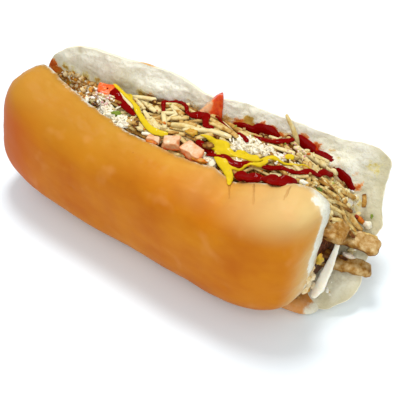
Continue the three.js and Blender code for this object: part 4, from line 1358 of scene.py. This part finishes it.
def wedge_shape():
    """A corner cut from a whole tomato: flesh to the left, the redder side folded back to the right."""
    bm = toned_mesh()
    tone = bm.verts.layers.float["tone"]
    outline = [bm.verts.new((x, y, -WEDGE["thickness"] / 2)) for x, y in WEDGE["outline"]]
    top = bmesh.ops.extrude_face_region(bm, geom=[bm.faces.new(outline)])["geom"]
    bmesh.ops.translate(bm, verts=[g for g in top if isinstance(g, bmesh.types.BMVert)],
                        vec=(0, 0, WEDGE["thickness"]))
    bmesh.ops.recalc_face_normals(bm, faces=bm.faces[:])
    bmesh.ops.bevel(bm, geom=bm.edges[:], offset=WEDGE["edge"], segments=3, affect="EDGES",
                    profile=0.5, material=-1)
    bmesh.ops.triangulate(bm, faces=bm.faces[:])
    for k in range(2):
        bmesh.ops.subdivide_edges(bm, edges=[e for e in bm.edges if e.calc_length() > 1.4], cuts=2)
        bmesh.ops.triangulate(bm, faces=bm.faces[:])
    turn = turned(WEDGE["turns"])
    for vert in bm.verts:
        past = max(0.0, vert.co.x - WEDGE["ridge"])
        vert[tone] = 0.22 + 0.6 * min(1.0, past / 0.8)
        vert.co.z -= past * 0.45
        place = turn @ vert.co + Vector(WEDGE["middle"])
        vert.co = place + wander(place / 3) * 0.5
    return bm


class HOTDOG_OT_tomato(bpy.types.Operator):
    """Adds the dice and the wedge of tomato"""
    bl_idname = "hotdog.tomato"
    bl_label = "Tomato"

    def execute(self, context):
        add_piece("tomato_dice", dice_shape(), food_finish("tomato"),
                  ["tomato_dice_left", "tomato_dice_rim", "tomato_dice_front", "tomato_dice_middle"])
        add_piece("tomato_corner", wedge_shape(), food_finish("tomato"), ["tomato_wedge"])
        return {"FINISHED"}


# ------------------------------------------------------------------ sauces
# places along each line, seen from above, and the half width at each; where a place has four values, the
# third is its height
MUSTARD = (
    ((-49, 23, 1.2), (-41, 20, 1.7), (-34, 18, 1.8), (-26, 15, 1.8), (-19, 11, 1.8), (-10, 6, 2.0),
     (-4, 5, 2.2), (2, 7, 1.6)),
    ((-38, 24, 1.3), (-34, 22, 1.4), (-31, 19, 1.3)),
    ((19, 15.5, 0.7), (22, 17, 1.2), (25, 18, 2.0), (29, 19, 2.6), (33, 20, 2.2)),
    ((25, 15.5, 1.3), (29, 16, 2.4), (34, 16.5, 2.8), (39, 17, 2.2), (44, 18, 1.8), (49, 19, 1.9),
     (53, 20, 1.8), (58, 22, 1.7), (63, 25, 1.4), (68, 28.5, 0.9), (73, 30.5, 0.7), (80, 33, 0.6)),
    ((30, 13.5, 1.4), (34, 13.5, 1.8), (38, 15, 1.4)), ((40, 19.5, 1.2), (46, 21, 1.3), (51, 21.5, 1.0)),
    ((34, 9, 2.2), (38, 7.5, 2.8), (42, 6, 2.8), (46, 3, 2.4), (48.5, -0.5, 1.8), (49.6, -2.6, 1.2)),
    ((41, 8, 1.4), (46, 9.5, 1.6), (50, 13, 1.6), (55, 16, 1.6), (58, 19, 1.4)),
    ((63, 31.5, 1.8), (65, 32.5, 1.8)),
)
KETCHUP = (
    ((-50, 19.5, 73, 2.0), (-46, 17.6, 74.5, 3.1), (-41, 16.4, 74.5, 3.4), (-36, 14.6, 74, 3.0),
     (-31, 12.5, 74, 2.5), (-26, 10.5, 74.5, 2.0), (-21, 9, 74.5, 1.3)),
    ((-10, 21, 1.3), (-15, 28, 1.6), (-12, 31, 1.6), (-6, 31, 1.5), (0, 28, 1.3), (3, 25, 1.4)),
    ((5, 26, 2.2), (8, 29, 2.8), (13, 29, 2.6)), ((13, 28, 2.2), (17, 23, 2.0), (20, 24, 1.4)),
    ((29, 8, 1.6), (34, 10, 2.2), (38, 11, 2.4), (44, 10.5, 2.4), (49, 13.5, 2.0), (52, 15, 1.2)),
    ((20, 12, 2.0), (24, 12, 2.2), (29, 11, 1.8)),
    ((50, 4, 74.5, 1.8), (53, 4.5, 75.5, 3.4), (57, 5, 76, 3.8), (61, 7, 77, 2.6)),
    ((64, 8, 77, 2.0), (68, 8, 79, 3.4), (72, 7, 80.5, 4.4), (75.5, 8.5, 81.5, 4.0), (78, 13, 79, 2.6)),
    ((62, 9, 76, 1.2), (67, 12, 76.5, 1.0), (72, 14, 77, 0.8)),
    ((58, 17, 1.4), (62, 19, 1.8), (67, 21, 1.6), (71, 23, 1.8), (75, 26, 2.2), (79, 30, 2.0),
     (82, 33, 1.6)),
    ((81, 36, 1.8), (82.5, 41, 2.4), (83, 45, 1.8)),
    ((17, 32, 0.8), (22, 32, 1.0), (28, 31, 1.0), (34, 29.5, 1.2), (41, 26, 1.4)),
    ((40, 34, 1.6), (45, 35, 2.0), (50, 37.5, 2.0), (55, 42, 1.8), (58, 45, 1.4)),
)
# the same on the torn face of the back half: place along, height and half width
WALL_KETCHUP = (
    ((24, 68, 1.8), (28, 68.5, 2.4), (33, 68, 2.0)),
    ((34, 67, 2.6), (37, 70, 3.2), (42, 69.5, 3.4), (47, 67.5, 2.6)),
    ((36, 65, 2.0), (41, 65.5, 2.4), (47, 65.5, 2.4), (52, 66, 2.0), (56, 66.5, 1.6)),
    ((53, 69, 1.6), (57, 66, 1.8)),
    ((58, 70, 1.6), (61, 68, 3.2), (66, 65.5, 3.8), (71, 63, 2.8), (74, 61.5, 1.6)),
    ((69, 65, 1.8), (73, 64, 3.0), (78, 62.5, 3.8), (83, 60.5, 4.0), (88, 58, 3.6), (93, 54.5, 2.2)),
)


VOXEL = 0.45        # how finely drops are melted together
APART_SHARE = 0.22  # how far apart drops are, as a share of the half width of their line
WIDEST = 2.0        # the half width from which on drops do not lie further apart
NEIGHBOURS = 5      # how many drops before and behind one its height is smoothed over
STEEPEST = 0.5      # the steepest slope that a drop follows
THIN_FROM, THIN_SPAN = 0.74, 0.36      # how far from the nearest drops sauce gets thin, in their sizes


def along_line(points, rng):
    """Places close together along a line whose points end in a half width."""
    at = curve_through([Vector(p[:-1]).to_3d() for p in points])
    widths = [p[-1] for p in points]
    length = sum((Vector(b[:-1]) - Vector(a[:-1])).length for a, b in zip(points, points[1:]))
    count = max(4, int(length / (APART_SHARE * min(WIDEST, sum(widths) / len(widths)))))
    phase = rng.uniform(0, 6)
    for k in range(count + 1):
        t = k / count
        width = float(np.interp(t, np.linspace(0, 1, len(widths)), widths))
        yield at(t), width * (1 + 0.06 * math.sin(phase + t * length / width))


def drops_on_heap(lines, pile, rng):
    """Drops along lines that run over whatever lies below: where, how large, and which way each faces."""
    drops = []
    for points in lines:
        places = list(along_line(points, rng))
        below = [pile.around(place.x, place.y, size * 0.9) for place, size in places]
        levels = [mean + (highest - mean) * 0.75 + size * 0.1
                  for (place, size), (highest, mean, *slopes) in zip(places, below)]
        for k, (place, size) in enumerate(places):
            near = levels[max(k - NEIGHBOURS, 0):k + NEIGHBOURS + 1]
            height = place.z if len(points[0]) == 4 else sum(near) / len(near)
            slopes = [max(-STEEPEST, min(STEEPEST, -slope)) for slope in below[k][2:]]
            drops.append((Vector((place.x, place.y, height)), size, Vector((*slopes, 1)).normalized()))
    return drops


def drops_on_face(lines, rng):
    """The same along lines on the torn face of the back half."""
    drops = []
    for points in lines:
        for place, size in along_line(points, rng):
            u = (place.x - BACK_HALF["centre"]) * 2 / BACK_HALF["length"]
            lean = math.radians(cubic(BACK_HALF["lean"])(u))
            centre = face_point(BACK_HALF, np.float64(place.x), np.float64(place.y), -0.6)
            drops.append((Vector(centre), size, Vector((0, -math.cos(lean), math.sin(lean)))))
    return drops


def drops_shape(drops, thickness):
    """Flattened drops, each for itself."""
    bm = bmesh.new()
    shape = lump_shape(3)
    for n, (centre, size, facing) in enumerate(drops):
        turn = facing.to_track_quat("Z", "Y").to_matrix()
        tall = thickness + size * 0.12
        for vert in new_verts(bm, shape):
            out = vert.co * (1 + 0.06 * noise.noise(vert.co + Vector((n, 0, 0))))
            vert.co = centre + turn @ Vector((out.x * size, out.y * size, out.z * tall))
    mesh = bpy.data.meshes.new("drops")
    bm.to_mesh(mesh)
    bm.free()
    return mesh


def melted(mesh):
    """Melts a mesh into one smooth body."""
    melt = bpy.data.objects.new("drops", mesh)
    bpy.context.scene.collection.objects.link(melt)
    remesh = melt.modifiers.new("melt", "REMESH")
    remesh.mode = "VOXEL"
    remesh.voxel_size = VOXEL
    smoothing = melt.modifiers.new("smooth", "SMOOTH")
    smoothing.factor = 0.5
    smoothing.iterations = 8
    body = bpy.data.meshes.new_from_object(melt.evaluated_get(bpy.context.evaluated_depsgraph_get()))
    bpy.data.objects.remove(melt)
    bm = bmesh.new()
    bm.from_mesh(body)
    bpy.data.meshes.remove(body)
    return bm


def sauce_shape(lines, face_lines, pile, thickness, seed):
    """Many drops along lines of sauce, melted into one body whose tone says where it is thin."""
    rng = random.Random(seed)
    drops = drops_on_heap(lines, pile, rng) + drops_on_face(face_lines, rng)
    bm = melted(drops_shape(drops, thickness))
    tree = KDTree(len(drops))
    for n, (centre, size, facing) in enumerate(drops):
        tree.insert(centre, n)
    tree.balance()
    thin = []
    for vert in bm.verts:
        shares = [far / drops[n][1] for centre, n, far in tree.find_n(vert.co, 4)]
        thin.append(max(0.0, min(1.0, (min(shares) - THIN_FROM) / THIN_SPAN)))
    set_layer(bm, "tone", thin)
    return bm


class HOTDOG_OT_sauces(bpy.types.Operator):
    """Runs mustard and ketchup over the filling"""
    bl_idname = "hotdog.sauces"
    bl_label = "Sauces"

    def execute(self, context):
        settings = context.scene.hotdog_filling
        pile = heap_of(context).pile
        red = sauce_finish("ketchup", (*settings.ketchup, 1), rgb(172, 44, 4),
                           roughness=0.12, shine=0.0)
        yellow = sauce_finish("mustard", (*settings.mustard, 1), rgb(212, 172, 40),
                              roughness=0.3, shine=0.04)
        ketchup = sauce_shape(KETCHUP, WALL_KETCHUP, pile, thickness=0.6, seed=3)
        add_piece("ketchup", ketchup, red)
        mustard = sauce_shape(MUSTARD, (), pile, thickness=0.42, seed=5)
        add_piece("mustard", mustard, yellow)
        return {"FINISHED"}


# ------------------------------------------------------------------ stage
# name, place in metres, width in metres and the setting of its power
LAMPS = (("key", (-0.19, 0.27, 1.2), 0.3, "key_power"), ("front", (0.5, -0.95, 1.0), 1.3, "fill_power"))
SKY_COLOR = (0.96, 0.985, 1, 1)
# degrees, millimetres and, for the lens, millimetres of focal length on a sensor 36 wide
SENSOR_WIDTH = 36
VIEW = {"azimuth": 35.78, "elevation": 47.59, "distance": 582.48, "target": (29.49, 0, 46.27),
        "lens": 97.57}
FLOOR_HALF_WIDTH = 3      # metres
FLOOR_ROUGHNESS = 0.9


def lay_floor(scene, color):
    bm = bmesh.new()
    bmesh.ops.create_grid(bm, x_segments=1, y_segments=1, size=FLOOR_HALF_WIDTH)
    mesh = bpy.data.meshes.new("floor")
    bm.to_mesh(mesh)
    bm.free()
    mesh.materials.append(Paint("floor").finish(color, FLOOR_ROUGHNESS, {"Specular IOR Level": 0.0}))
    floor = bpy.data.objects.new("floor", mesh)
    scene.collection.objects.link(floor)


def light_sky(scene, strength):
    world = bpy.data.worlds.new("soft sky")
    world.use_nodes = True
    sky = world.node_tree.nodes["Background"]
    sky.inputs["Color"].default_value = SKY_COLOR
    sky.inputs["Strength"].default_value = strength
    scene.world = world


def hang_lamp(scene, name, place, size, watts):
    """Hangs a square lamp that shines at the middle of the floor."""
    light = bpy.data.lights.new(name, "AREA")
    light.size = size
    light.energy = watts
    lamp = bpy.data.objects.new(name, light)
    lamp.location = place
    lamp.rotation_euler = (-Vector(place)).to_track_quat("-Z", "Y").to_euler()
    scene.collection.objects.link(lamp)


def set_camera(scene):
    azimuth, elevation = math.radians(VIEW["azimuth"]), math.radians(VIEW["elevation"])
    back = Vector((math.sin(azimuth) * math.cos(elevation), -math.cos(azimuth) * math.cos(elevation),
                   math.sin(elevation)))
    lens = bpy.data.cameras.new("camera")
    lens.sensor_width = SENSOR_WIDTH
    lens.lens = VIEW["lens"]
    camera = bpy.data.objects.new("camera", lens)
    camera.location = TO_FRAME @ Vector(VIEW["target"]) + back * (VIEW["distance"] / 1000)
    camera.rotation_euler = back.to_track_quat("Z", "Y").to_euler()
    scene.collection.objects.link(camera)
    scene.camera = camera


class HOTDOG_OT_stage(bpy.types.Operator):
    """Sets the floor, the lights and the camera"""
    bl_idname = "hotdog.stage"
    bl_label = "Stage"

    def execute(self, context):
        scene = context.scene
        settings = scene.hotdog_stage
        lay_floor(scene, (*settings.floor, 1))
        light_sky(scene, settings.sky)
        for name, place, size, power in LAMPS:
            hang_lamp(scene, name, place, size, getattr(settings, power))
        set_camera(scene)
        scene.view_settings.view_transform = "Standard"
        return {"FINISHED"}


# ------------------------------------------------------------------ the add-on
class HOTDOG_PT_panel(bpy.types.Panel):
    """Lists the pieces in the order in which they are made"""
    bl_label = "Hot dog"
    bl_idname = "HOTDOG_PT_panel"
    bl_space_type = "VIEW_3D"
    bl_region_type = "UI"
    bl_category = "Hot dog"

    def draw(self, context):
        for operator in OPERATORS:
            self.layout.operator(operator.bl_idname)


SETTINGS = (("hotdog_bread", BreadSettings), ("hotdog_filling", FillingSettings),
            ("hotdog_stage", StageSettings))
OPERATORS = (HOTDOG_OT_roll, HOTDOG_OT_filling, HOTDOG_OT_sticks, HOTDOG_OT_bits, HOTDOG_OT_meat,
             HOTDOG_OT_onion, HOTDOG_OT_cheese, HOTDOG_OT_tomato, HOTDOG_OT_sauces, HOTDOG_OT_stage)


def register():
    for kind in [group for name, group in SETTINGS] + list(OPERATORS) + [HOTDOG_PT_panel]:
        bpy.utils.register_class(kind)
    for name, group in SETTINGS:
        setattr(bpy.types.Scene, name, bpy.props.PointerProperty(type=group))


def unregister():
    for name, group in SETTINGS:
        delattr(bpy.types.Scene, name)
    for kind in [HOTDOG_PT_panel] + list(OPERATORS) + [group for name, group in SETTINGS]:
        bpy.utils.unregister_class(kind)


def main():
    register()
    bpy.ops.hotdog.roll()
    bpy.ops.hotdog.filling()
    bpy.ops.hotdog.sticks()
    bpy.ops.hotdog.bits()
    bpy.ops.hotdog.meat()
    bpy.ops.hotdog.onion()
    bpy.ops.hotdog.cheese()
    bpy.ops.hotdog.tomato()
    bpy.ops.hotdog.sauces()
    bpy.ops.hotdog.stage()


if __name__ == "__main__":
    main()
